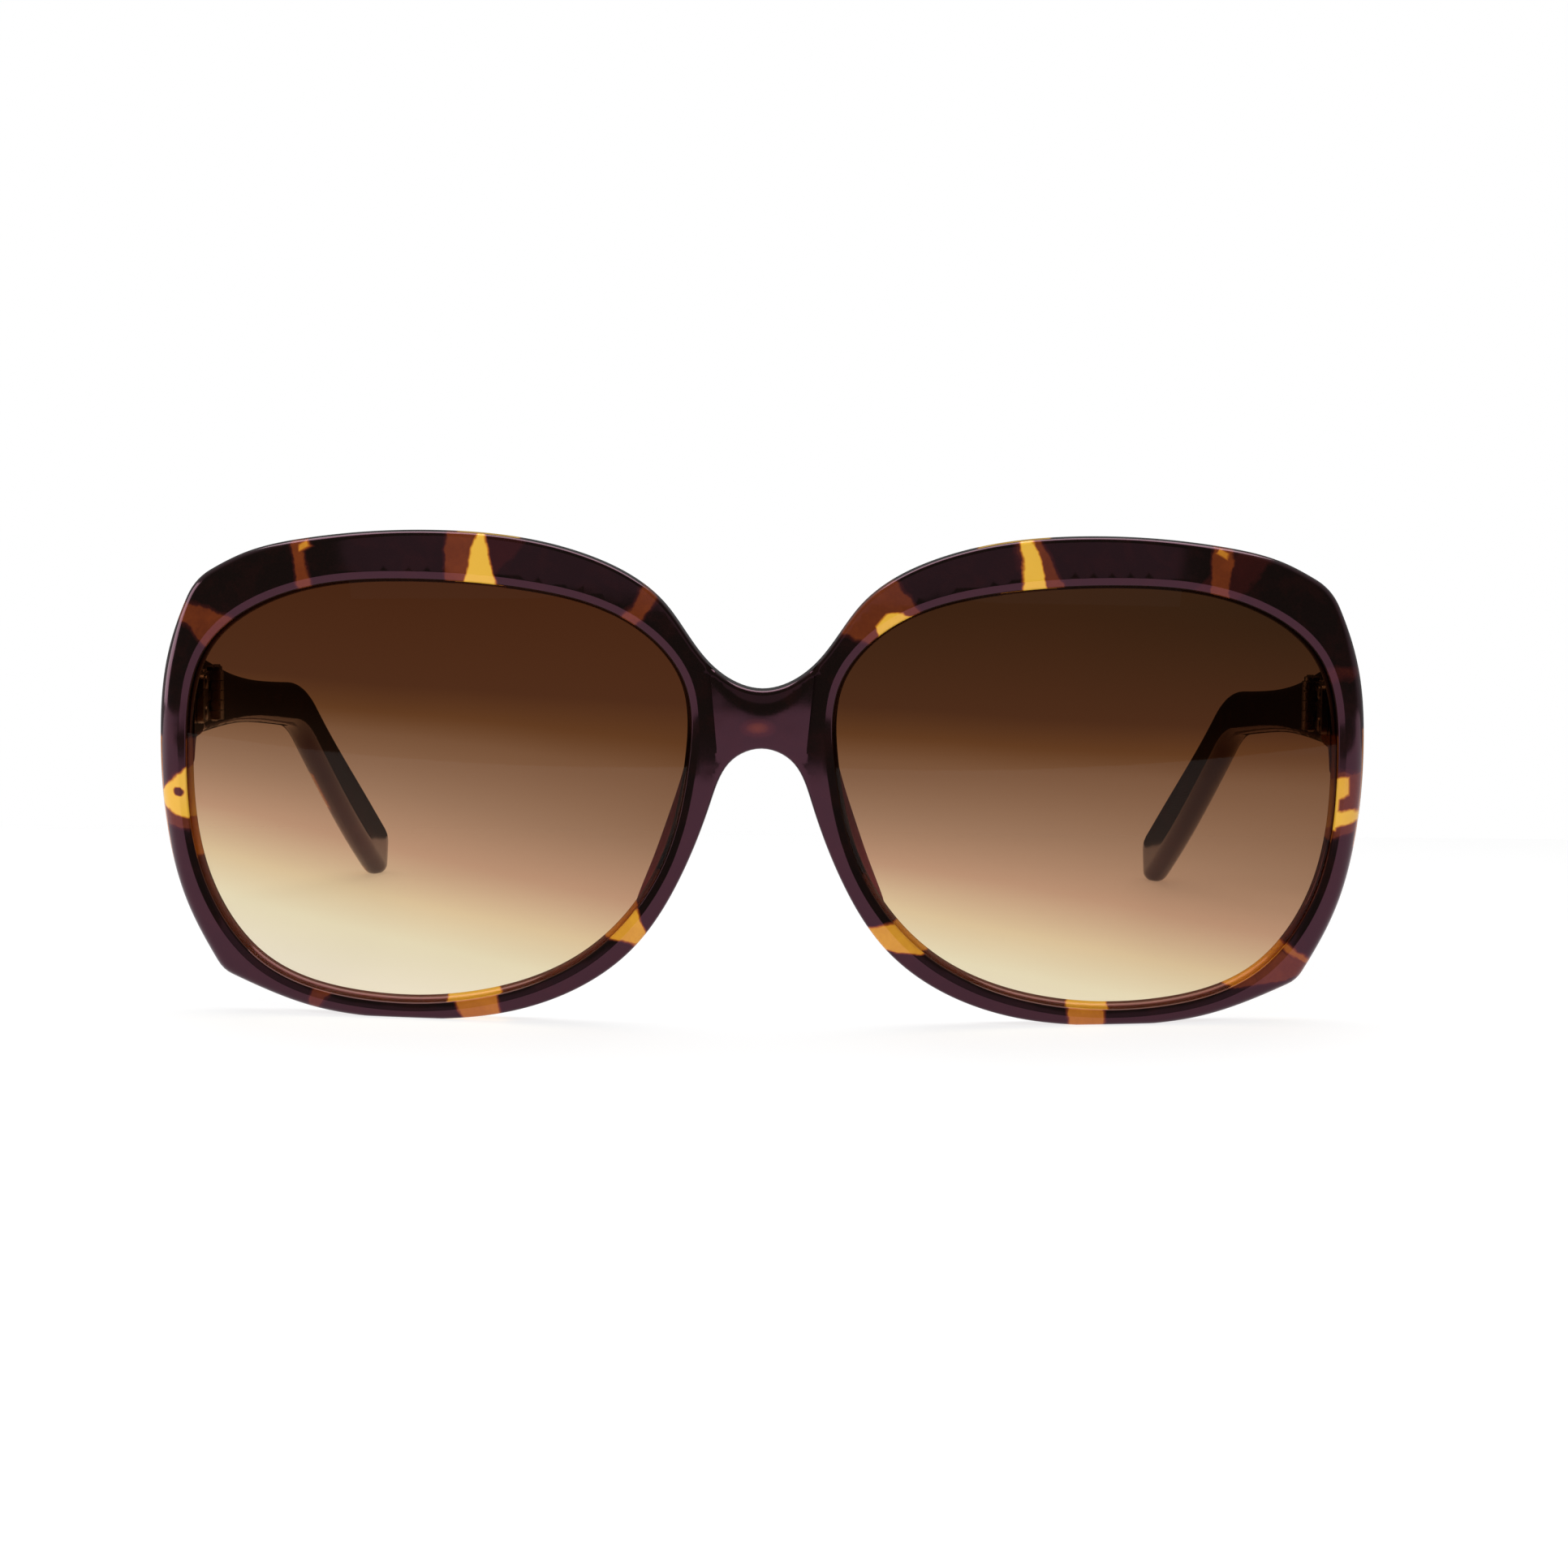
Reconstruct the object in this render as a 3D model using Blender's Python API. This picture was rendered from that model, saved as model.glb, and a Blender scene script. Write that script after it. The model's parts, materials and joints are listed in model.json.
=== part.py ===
"""Cat-eye sunglasses: a moulded front with two gradient lenses, two nose pads and two folding temples on
five-barrel hinges.

The sunglasses stand as they do on a table, on the bottoms of the rims and the tips of the temples, with the
temples open. +Z is up, the front faces -Y, and left and right are the wearer's, so left is +X. Outlines are
worked out on the left side and mirrored. Lengths are in metres; MM turns the design's millimetres into them.
"""

import math

import bmesh
import bpy
import numpy as np
from mathutils import Vector
from mathutils.geometry import delaunay_2d_cdt

MM = 0.001
SIDES = (("left", 1), ("right", -1))

# Driving sizes of the front.
LENS_CENTRE_X = 38.5 * MM  # half the distance between the lens centres
LENS_CENTRE_Z = 30.0 * MM
WRAP = math.radians(8)  # how far each lens is turned back at the temple side
LENS_RADIUS = 130.0 * MM  # the lens curve, side to side
LENS_RADIUS_UPRIGHT = 200.0 * MM  # the lens curve, top to bottom
BRIDGE_HALF_WIDTH = 8.5 * MM  # inside this the front curves forward as one bridge
RIM_DEPTH = 4.2 * MM
REST_FLAT = 0.12 * MM  # taken off the lowest stretch of each rim, which makes its small flat foot

# The front's outline, from the middle of the bridge's top to the upper outer corner, to the lower outer
# corner, and back under the lens to the middle of the bridge's underside. (x, z) in millimetres.
BROW_LINE = (
    (0, 40.35),
    (5.8, 42.9),
    (11.8, 50.6),
    (21.5, 56.3),
    (38.5, 58.8),
    (55.7, 57.45),
    (62.8, 55.6),
    (68.75, 52.35),
)
SIDE_LINE = ((68.75, 52.35), (72.0, 43.8), (73.05, 33.0), (72.1, 21.4), (69.4, 12.3), (65.3, 4.9))
LOWER_LINE = (
    (65.3, 4.9),
    (54.1, 1.0),
    (42.5, 0.0),
    (28.7, 1.55),
    (15.3, 9.1),
    (9.5, 18.0),
    (6.0, 27.0),
    (3.4, 32.1),
    (0, 33.4),
)
UPPER_TRIM = 2.2 * MM  # the upper outer corner is rounded over this length of both lines
LOWER_TRIM = 1.1 * MM
# The opening that the lens shows through, as a closed smooth line. (x, z) in millimetres.
OPENING_LINE = (
    (69.65, 31.5),
    (67.3, 43.9),
    (57.9, 50.7),
    (43.0, 52.9),
    (27.5, 51.9),
    (15.2, 47.8),
    (9.3, 41.0),
    (8.75, 31.5),
    (11.9, 18.9),
    (21.0, 7.85),
    (33.9, 2.7),
    (48.0, 2.15),
    (60.3, 6.1),
    (67.2, 15.3),
)
OUTLINE_STEPS = 56  # facets along each half of the outline
OPENING_STEPS = 52  # facets around each opening, its groove and its lens

# Sections of the front, as (distance out from the line, depth behind the face), front to back.
OUTER_SECTION = tuple(
    (out * MM, depth * MM)
    for out, depth in ((-0.5, 0), (-0.15, 0.15), (0, 0.5), (0, 3.7), (-0.15, 4.05), (-0.5, 4.2))
)
OPENING_SECTION = tuple(
    (out * MM, depth * MM)
    for out, depth in ((0.95, 0), (0, 0.7), (0, 0.85), (0.85, 1.65), (0, 2.5), (-0.45, 3.75), (-0.35, 4.2))
)
LENS_FRONT = 0.8 * MM  # depth of the lens behind the front's face
LENS_THICKNESS = 1.7 * MM
LENS_SECTION = tuple(
    (out * MM, LENS_FRONT + LENS_THICKNESS * share) for out, share in ((-0.12, 0), (0.62, 0.5), (-0.12, 1))
)
LENS_RINGS = (0.7, 0.35)  # rings of facets inside each lens face, as shares of its outline

# Hinges: the joint plane is where the temple meets the front's endpiece.
JOINT_Y = 21.5 * MM
HINGE_Z = 37.3 * MM
TEMPLE_INNER_X = 69.0 * MM
TEMPLE_THICKNESS = 3.6 * MM
TEMPLE_MIDDLE_X = TEMPLE_INNER_X + TEMPLE_THICKNESS / 2
BARREL_RADIUS = 1.2 * MM
HINGE_X = TEMPLE_INNER_X - BARREL_RADIUS - 0.1 * MM
BARREL_COUNT = 5
BARREL_HEIGHT = 1.12 * MM
BARREL_GAP = 0.1 * MM
BARREL_BORE = 0.58 * MM
SCREW_RADIUS = 0.5 * MM
PLATE_THICKNESS = 0.8 * MM
PLATE_GAP = 0.1 * MM  # between a hinge plate and the plastic that it lies on
PLATE_CLEAR = 1.4 * MM  # from the hinge's axis to the near edge of either plate
FRONT_PLATE_LENGTH = 5.6 * MM
TEMPLE_PLATE_LENGTH = 9.0 * MM
PIN_RADIUS = 0.5 * MM
PIN_HEAD_RADIUS = 0.85 * MM
PIN_RISE = 1.9 * MM  # each pin's height above or below the middle of its plate
PIN_DEPTH = 1.7 * MM
BUTT_GAP = 0.06 * MM

# Endpiece: the stub behind each rim that carries the hinge.
ENDPIECE_FRONT_Y = 12.6 * MM
ENDPIECE_HALF_HEIGHT = 5.2 * MM

# Temples: (y, half height) in millimetres from the joint plane to the tip, joined by a smooth line.
TEMPLE_SLOPE = math.radians(6)  # how far the straight part drops towards the ear
HOOK_SLOPE = math.radians(30.3)
HOOK_START_Y = 92.0 * MM
HOOK_RADIUS = 30.0 * MM
TIP_Y = 142.0 * MM
TEMPLE_HEIGHTS = ((21.5, 4.9), (34, 4.3), (60, 3.0), (92, 3.0), (112, 3.5), (134, 4.1), (142, 4.0))
INWARD_START_Y = 34.0 * MM
INWARD_AT_TIP = 12.0 * MM
INWARD_POWER = 1.75
TEMPLE_STATIONS = 18
TEMPLE_CORNER = 1.3 * MM
CORE_END_Y = 124.0 * MM
CORE_HALF_THICKNESS = 0.5 * MM
CORE_HALF_HEIGHT = 0.9 * MM
CORE_GAP = 0.2 * MM

# Nose pads: the line of each pad's foot down the nasal side of the rim, (x, z) in millimetres.
PAD_LINE = ((7.2, 33.6), (7.9, 28.5), (9.3, 23.4), (11.3, 18.4), (13.9, 13.7))
PAD_GAP = 0.1 * MM
PAD_HEIGHT = 5.6 * MM
PAD_END_SHARE = 0.16  # height of the pad's two ends, as a share of its middle's
PAD_STATIONS = 10
# A pad's section across the line: (towards the lens, share of the height).
PAD_SECTION = (
    (-1.25, 0),
    (-0.85, 0.3),
    (-0.35, 0.62),
    (0.45, 0.88),
    (1.25, 1.0),
    (1.95, 0.93),
    (2.15, 0.72),
    (1.75, 0.35),
    (1.25, 0),
)

TORTOISE = (0.055, 0.018, 0.012, 1)
BRIDGE_TORTOISE = (0.075, 0.022, 0.014, 1)
LENS_BROWN = (0.23, 0.12, 0.06, 1)
NICKEL = (0.62, 0.6, 0.56, 1)


def material(name, colour, roughness, metallic=0.0, transmission=0.0):
    found = bpy.data.materials.get(name)
    if found:
        return found
    made = bpy.data.materials.new(name)
    made.use_nodes = True
    shader = made.node_tree.nodes["Principled BSDF"]
    shader.inputs["Base Color"].default_value = colour
    shader.inputs["Roughness"].default_value = roughness
    shader.inputs["Metallic"].default_value = metallic
    shader.inputs["Transmission Weight"].default_value = transmission
    return made


def tortoise():
    return material("tortoise_plastic", TORTOISE, 0.08)


def nickel():
    return material("nickel_silver", NICKEL, 0.25, metallic=1.0)


def smooth_line(points, closed=False, samples=24, flat_start=False, flat_end=False):
    """A smooth cubic line through the points, finely sampled. A flat end leaves its point level."""
    knots = np.array(points, float)
    if closed:
        knots = np.vstack([knots, knots[:1]])
    spans = np.linalg.norm(np.diff(knots, axis=0), axis=1)
    count = len(knots)
    matrix, right = np.zeros((count, count)), np.zeros((count, 2))
    for i in range(1, count - 1):
        before, after = spans[i - 1], spans[i]
        matrix[i, i - 1 : i + 2] = after, 2 * (before + after), before
        step_before = (knots[i] - knots[i - 1]) / before
        step_after = (knots[i + 1] - knots[i]) / after
        right[i] = 3 * (after * step_before + before * step_after)
    if closed:
        before, after = spans[-1], spans[0]
        matrix[0, 0], matrix[0, 1], matrix[0, -2] = 2 * (before + after), before, after
        step_before, step_after = (knots[-1] - knots[-2]) / before, (knots[1] - knots[0]) / after
        right[0] = 3 * (after * step_before + before * step_after)
        matrix[-1, -1], matrix[-1, 0] = 1, -1
    else:
        for row, near, span, flat in ((0, 1, 0, flat_start), (count - 1, count - 2, -1, flat_end)):
            matrix[row, row] = 2
            chord = (knots[near] - knots[row]) / spans[span] * (1 if row == 0 else -1)
            if flat:
                right[row] = 2 * np.sign(chord[0]), 0
            else:
                matrix[row, near] = 1
                right[row] = 3 * chord
    slopes = np.linalg.solve(matrix, right)
    line = []
    for i, span in enumerate(spans):
        for t in np.arange(samples) / samples:
            line.append(
                (1 + 2 * t) * (1 - t) ** 2 * knots[i]
                + t * (1 - t) ** 2 * span * slopes[i]
                + t * t * (3 - 2 * t) * knots[i + 1]
                + t * t * (t - 1) * span * slopes[i + 1]
            )
    if not closed:
        line.append(knots[-1])
    return np.array(line)


def lengths_along(line):
    return np.concatenate([[0], np.cumsum(np.linalg.norm(np.diff(line, axis=0), axis=1))])


def evenly(line, steps):
    """The line's points resampled to equal steps."""
    along = lengths_along(line)
    wanted = np.linspace(0, along[-1], steps + 1)
    return np.stack([np.interp(wanted, along, line[:, k]) for k in range(2)], axis=1)


def rounded_corner(first, second, trim):
    """The two lines joined, with their shared corner rounded over the trim length of each."""
    along_first, along_second = lengths_along(first), lengths_along(second)
    kept_first = first[along_first < along_first[-1] - trim]
    kept_second = second[along_second > trim]
    start, corner, end = kept_first[-1], first[-1], kept_second[0]
    turn = [
        (1 - t) ** 2 * start + 2 * t * (1 - t) * corner + t * t * end for t in (0.2, 0.4, 0.6, 0.8)
    ]
    return np.vstack([kept_first, turn, kept_second])


def outline():
    """The front's whole outline, anticlockwise as seen from the front's -Y side, mirrored about x = 0."""
    brow = smooth_line(np.array(BROW_LINE) * MM, flat_start=True)
    side = smooth_line(np.array(SIDE_LINE) * MM)
    lower = smooth_line(np.array(LOWER_LINE) * MM, flat_end=True)
    half = rounded_corner(rounded_corner(brow, side, UPPER_TRIM), lower, LOWER_TRIM)
    half = evenly(half, OUTLINE_STEPS)
    half[:, 1] = np.maximum(half[:, 1] - REST_FLAT, 0)
    other = half[-2:0:-1] * (-1, 1)
    return np.vstack([half, other])[::-1]


def opening():
    """The left lens opening's line, anticlockwise as seen from the front."""
    line = smooth_line(np.array(OPENING_LINE) * MM, closed=True)
    return evenly(np.vstack([line, line[:1]]), OPENING_STEPS)[:-1]


def outward(loop, distance):
    """A closed anticlockwise loop moved outwards by the distance."""
    along = np.roll(loop, -1, axis=0) - np.roll(loop, 1, axis=0)
    along /= np.linalg.norm(along, axis=1)[:, None]
    return loop + distance * np.stack([along[:, 1], -along[:, 0]], axis=1)


def face_depth(x, z):
    """How far the front's curved face lies behind its foremost point, at (x, z)."""
    x = abs(x)
    start = BRIDGE_HALF_WIDTH - LENS_CENTRE_X
    start_slope = math.tan(WRAP) + start / LENS_RADIUS
    if x > BRIDGE_HALF_WIDTH:
        across = x - LENS_CENTRE_X
        side = math.tan(WRAP) * (across - start) + (across**2 - start**2) / (2 * LENS_RADIUS)
    else:
        side = start_slope * (x**2 - BRIDGE_HALF_WIDTH**2) / (2 * BRIDGE_HALF_WIDTH)
    return side + (z - LENS_CENTRE_Z) ** 2 / (2 * LENS_RADIUS_UPRIGHT)


def on_face(point, depth):
    x, z = point
    return Vector((x, face_depth(x, z) + depth, z))


def finish_mesh(name, bm, mat, parent, sharp=35):
    """Makes the bmesh, given in the front's coordinates, into an object under its parent empty."""
    bmesh.ops.recalc_face_normals(bm, faces=bm.faces)
    bmesh.ops.translate(bm, verts=bm.verts, vec=-parent_place(parent))
    mesh = bpy.data.meshes.new(name)
    bm.to_mesh(mesh)
    bm.free()
    mesh.shade_smooth()
    mesh.set_sharp_from_angle(angle=math.radians(sharp))
    mesh.materials.append(mat)
    made = bpy.data.objects.new(name, mesh)
    bpy.context.scene.collection.objects.link(made)
    made.parent = parent
    return made


def parent_place(parent):
    """Where a parent empty stands in the front's coordinates."""
    return parent.location.copy() if parent.parent else Vector()


def band(bm, ring_a, ring_b):
    """Joins two closed rings of equal count with quads."""
    for i in range(len(ring_a)):
        j = (i + 1) % len(ring_a)
        bm.faces.new((ring_a[i], ring_a[j], ring_b[j], ring_b[i]))


def section_rings(bm, loop, section):
    """Rings of vertices along a loop, one for each (out, depth) of the section, joined by bands."""
    rings = [[bm.verts.new(on_face(p, depth)) for p in outward(loop, out)] for out, depth in section]
    for ring_a, ring_b in zip(rings, rings[1:]):
        band(bm, ring_a, ring_b)
    return rings


def fill_between(bm, outer_ring, hole_rings):
    """Fills the area inside the outer ring and outside the hole rings with triangles."""
    rings = [outer_ring, *hole_rings]
    verts = [v for ring in rings for v in ring]
    flat = [Vector((v.co.x / MM, v.co.z / MM)) for v in verts]
    edges, first = [], 0
    for ring in rings:
        edges += [(first + i, first + (i + 1) % len(ring)) for i in range(len(ring))]
        first += len(ring)
    _, _, triangles, origins, _, _ = delaunay_2d_cdt(flat, edges, [], 1, 1e-6)
    holes = [[Vector((v.co.x / MM, v.co.z / MM)) for v in ring] for ring in hole_rings]
    for triangle in triangles:
        corners = [verts[origins[i][0]] for i in triangle]
        centre = sum((Vector((v.co.x, v.co.z)) for v in corners), Vector((0, 0))) / (3 * MM)
        if not any(inside(centre, hole) for hole in holes):
            bm.faces.new(corners)


def inside(point, loop):
    """Whether a flat point lies in a closed loop, by counting crossings."""
    crossings = False
    for a, b in zip(loop, loop[1:] + loop[:1]):
        if (a.y > point.y) != (b.y > point.y):
            if point.x < a.x + (point.y - a.y) * (b.x - a.x) / (b.y - a.y):
                crossings = not crossings
    return crossings


def swept(bm, stations, cap_start=True, cap_end=True):
    """Joins rings of points with bands, and caps the two ends."""
    rings = [[bm.verts.new(p) for p in station] for station in stations]
    for ring_a, ring_b in zip(rings, rings[1:]):
        band(bm, ring_a, ring_b)
    if cap_start:
        bm.faces.new(rings[0])
    if cap_end:
        bm.faces.new(rings[-1])
    return rings


def rounded_rectangle(half_width, half_height, corner, corner_steps):
    """Points (u, v) of a rectangle with rounded corners."""
    corner = min(corner, half_width * 0.98, half_height * 0.98)
    points = []
    for quarter, (su, sv) in enumerate(((1, 1), (-1, 1), (-1, -1), (1, -1))):
        for step in range(corner_steps + 1):
            angle = math.pi / 2 * (quarter + step / corner_steps)
            points.append(
                (
                    su * (half_width - corner) + corner * math.cos(angle),
                    sv * (half_height - corner) + corner * math.sin(angle),
                )
            )
    return points


def cylinder(bm, centre, radius, length, axis, segments=20):
    """A closed cylinder about the centre, along "x" or "z"."""
    made = bmesh.ops.create_cone(
        bm, cap_ends=True, segments=segments, radius1=radius, radius2=radius, depth=length
    )["verts"]
    if axis == "x":
        for v in made:
            v.co = Vector((v.co.z, v.co.y, -v.co.x))
    bmesh.ops.translate(bm, verts=made, vec=centre)


def box(bm, low, high):
    made = bmesh.ops.create_cube(bm, size=1)["verts"]
    for v in made:
        v.co = Vector([low[k] + (v.co[k] + 0.5) * (high[k] - low[k]) for k in range(3)])


def helper(name, bm, parent):
    """A cutter or a piece to join, which isn't a part of the sunglasses."""
    made = finish_mesh(name, bm, nickel(), parent)
    made.hide_render = True
    made.display_type = "WIRE"
    return made


def boolean(target, other, operation):
    modifier = target.modifiers.new(other.name, "BOOLEAN")
    modifier.operation = operation
    modifier.object = other
    modifier.solver = "EXACT"


def pin_places(sign, middle_y):
    """The axes of a hinge plate's two pins, as points on the plastic's inner face."""
    for level, rise in (("upper", PIN_RISE), ("lower", -PIN_RISE)):
        yield level, Vector((sign * TEMPLE_INNER_X, middle_y, HINGE_Z + rise))


def make_front(root):
    """The one-piece front: both rims, the bridge and the two endpieces, with the lens grooves."""
    bm = bmesh.new()
    outer = section_rings(bm, outline(), OUTER_SECTION)
    left = opening()
    right = (left * (-1, 1))[::-1]
    holes = [section_rings(bm, loop, OPENING_SECTION) for loop in (left, right)]
    fill_between(bm, outer[0], [rings[0] for rings in holes])
    fill_between(bm, outer[-1], [rings[-1] for rings in holes])
    front = finish_mesh("front_frame", bm, tortoise(), root, sharp=30)
    for side, sign in SIDES:
        boolean(front, make_endpiece(side, sign, root), "UNION")
    for side, sign in SIDES:
        bm = bmesh.new()
        for _, place in pin_places(sign, front_plate_middle()):
            cylinder(bm, place, PIN_RADIUS + 0.1 * MM, 2 * PIN_DEPTH + 0.4 * MM, "x", 10)
        boolean(front, helper(f"front_pin_holes_{side}", bm, root), "DIFFERENCE")
    return front


def make_endpiece(side, sign, root):
    """The stub that turns back from the rim to the hinge."""
    stations = []
    for y, growth in ((ENDPIECE_FRONT_Y, 0.5 * MM), (16 * MM, 0.1 * MM), (JOINT_Y - BUTT_GAP, 0)):
        section = rounded_rectangle(TEMPLE_THICKNESS / 2, ENDPIECE_HALF_HEIGHT + growth, TEMPLE_CORNER, 2)
        stations.append([Vector((sign * TEMPLE_MIDDLE_X + u, y, HINGE_Z + v)) for u, v in section])
    bm = bmesh.new()
    swept(bm, stations)
    return helper(f"endpiece_{side}", bm, root)


def make_lens(side, sign, root):
    """A thin curved lens with a bevelled edge that sits in the rim's groove."""
    loop = opening()
    if sign < 0:
        loop = (loop * (-1, 1))[::-1]
    middle = np.array((sign * LENS_CENTRE_X, LENS_CENTRE_Z))
    bm = bmesh.new()
    edge = section_rings(bm, loop, LENS_SECTION)
    for ring, (out, depth) in ((edge[0], LENS_SECTION[0]), (edge[-1], LENS_SECTION[-1])):
        rim = outward(loop, out)
        for share in LENS_RINGS:
            inner = [bm.verts.new(on_face(middle + (p - middle) * share, depth)) for p in rim]
            band(bm, ring, inner)
            ring = inner
        centre = bm.verts.new(on_face(middle, depth))
        for a, b in zip(ring, ring[1:] + ring[:1]):
            bm.faces.new((a, b, centre))
    brown = material("gradient_lens", LENS_BROWN, 0.03, transmission=0.8)
    return finish_mesh(f"lens_{side}", bm, brown, root, sharp=30)


def make_nose_pad(side, sign, root):
    """A pad glued behind the nasal side of the rim, flared towards the lens to suit the nose."""
    line = evenly(smooth_line(np.array(PAD_LINE) * MM), PAD_STATIONS)
    along = np.gradient(line, axis=0)
    along /= np.linalg.norm(along, axis=1)[:, None]
    stations = []
    for i, (point, direction) in enumerate(zip(line, along)):
        towards_lens = np.array((-direction[1], direction[0]))
        swell = math.sin(math.pi * i / PAD_STATIONS) ** 0.7
        height = PAD_HEIGHT * (PAD_END_SHARE + (1 - PAD_END_SHARE) * swell)
        width = 0.55 + 0.45 * swell
        ring = []
        for across, share in PAD_SECTION:
            x, z = point + towards_lens * across * MM * width
            ring.append(Vector((sign * x, face_depth(x, z) + RIM_DEPTH + PAD_GAP + share * height, z)))
        stations.append(ring)
    bm = bmesh.new()
    swept(bm, stations)
    return finish_mesh(f"nose_pad_{side}", bm, material("pad_plastic", BRIDGE_TORTOISE, 0.15), root)


def barrel_bottom(index):
    """The underside of one barrel of the hinge, counted from the lowest."""
    total = BARREL_COUNT * BARREL_HEIGHT + (BARREL_COUNT - 1) * BARREL_GAP
    return HINGE_Z - total / 2 + index * (BARREL_HEIGHT + BARREL_GAP)


def front_plate_middle():
    return JOINT_Y - PLATE_CLEAR - FRONT_PLATE_LENGTH / 2


def temple_plate_middle():
    return JOINT_Y + PLATE_CLEAR + TEMPLE_PLATE_LENGTH / 2


def make_hinge_leaf(name, side, sign, parent, barrels, direction, length):
    """Half a hinge: a plate on the plastic's inner face, and the barrels that stand at its end."""
    plate_outer = TEMPLE_INNER_X - PLATE_GAP
    plate_inner = plate_outer - PLATE_THICKNESS
    near, far = JOINT_Y + direction * PLATE_CLEAR, JOINT_Y + direction * (PLATE_CLEAR + length)
    low_z, high_z = barrel_bottom(0), barrel_bottom(BARREL_COUNT - 1) + BARREL_HEIGHT
    bm = bmesh.new()
    ends = sorted((near, far)), sorted((sign * plate_inner, sign * plate_outer))
    box(bm, (ends[1][0], ends[0][0], low_z), (ends[1][1], ends[0][1], high_z))
    leaf = finish_mesh(f"{name}_{side}", bm, nickel(), parent)
    for index in barrels:
        low = barrel_bottom(index)
        barrel, arm = bmesh.new(), bmesh.new()
        middle = Vector((sign * HINGE_X, JOINT_Y, low + BARREL_HEIGHT / 2))
        cylinder(barrel, middle, BARREL_RADIUS, BARREL_HEIGHT, "z", 16)
        arm_y = sorted((JOINT_Y + direction * 0.3 * MM, near + direction * 0.3 * MM))
        arm_x = sorted((sign * (plate_inner - 0.15 * MM), sign * (plate_outer - 0.03 * MM)))
        inset = 0.02 * MM
        box(arm, (arm_x[0], arm_y[0], low + inset), (arm_x[1], arm_y[1], low + BARREL_HEIGHT - inset))
        boolean(leaf, helper(f"{name}_{side}_barrel_{index}", barrel, parent), "UNION")
        boolean(leaf, helper(f"{name}_{side}_arm_{index}", arm, parent), "UNION")
    holes = bmesh.new()
    cylinder(holes, Vector((sign * HINGE_X, JOINT_Y, HINGE_Z)), BARREL_BORE, 12 * MM, "z", 16)
    for _, place in pin_places(sign, (near + far) / 2):
        cylinder(holes, place, PIN_RADIUS + 0.1 * MM, 4 * PLATE_THICKNESS, "x", 10)
    boolean(leaf, helper(f"{name}_{side}_holes", holes, parent), "DIFFERENCE")
    return leaf


def make_screw(side, sign, root):
    """The hinge screw: a slotted head over the top barrel and a shank through all five."""
    head_low = barrel_bottom(BARREL_COUNT - 1) + BARREL_HEIGHT + 0.05 * MM
    shank_low = barrel_bottom(0) - 0.25 * MM
    profile = (
        (0, shank_low),
        (0.7 * SCREW_RADIUS, shank_low),
        (SCREW_RADIUS, shank_low + 0.2 * MM),
        (SCREW_RADIUS, head_low),
        (1.9 * SCREW_RADIUS, head_low),
        (1.9 * SCREW_RADIUS, head_low + 0.35 * MM),
        (1.5 * SCREW_RADIUS, head_low + 0.55 * MM),
        (0, head_low + 0.55 * MM),
    )
    middle = Vector((sign * HINGE_X, JOINT_Y, 0))
    screw = finish_mesh(f"hinge_screw_{side}", turned(profile, middle, "z", 16), nickel(), root)
    slot = bmesh.new()
    top = head_low + 0.55 * MM
    half = Vector((0.14 * MM, 2 * MM, 0.25 * MM))
    box(slot, middle + Vector((0, 0, top)) - half, middle + Vector((0, 0, top)) + half)
    boolean(screw, helper(f"hinge_screw_slot_{side}", slot, root), "DIFFERENCE")
    return screw


def turned(profile, middle, axis, segments):
    """A closed turned solid from (radius, height) points, both ends on the axis."""
    bm = bmesh.new()
    rings = []
    for radius, height in profile:
        angles = [2 * math.pi * i / segments for i in range(segments)] if radius > 0 else [0]
        ring = []
        for angle in angles:
            local = Vector((radius * math.cos(angle), radius * math.sin(angle), height))
            if axis == "x":
                local = Vector((local.z, local.x, local.y))
            ring.append(bm.verts.new(middle + local))
        rings.append(ring)
    for ring_a, ring_b in zip(rings, rings[1:]):
        if len(ring_a) == len(ring_b):
            band(bm, ring_a, ring_b)
            continue
        tip, ring = (ring_a[0], ring_b) if len(ring_a) == 1 else (ring_b[0], ring_a)
        for a, b in zip(ring, ring[1:] + ring[:1]):
            bm.faces.new((a, b, tip))
    return bm


def make_pins(name, side, sign, parent, middle_y):
    """The two blind pins that hold a hinge plate to the plastic."""
    head = PLATE_GAP + PLATE_THICKNESS + 0.05 * MM
    for level, place in pin_places(sign, middle_y):
        profile = (
            (0, -PIN_DEPTH),
            (0.7 * PIN_RADIUS, -PIN_DEPTH),
            (PIN_RADIUS, 0.2 * MM - PIN_DEPTH),
            (PIN_RADIUS, head),
            (PIN_HEAD_RADIUS, head),
            (0.75 * PIN_HEAD_RADIUS, head + 0.22 * MM),
            (0, head + 0.3 * MM),
        )
        across = [(radius, -sign * height) for radius, height in profile]
        finish_mesh(f"{name}_{side}_{level}", turned(across, place, "x", 10), nickel(), parent)


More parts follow.
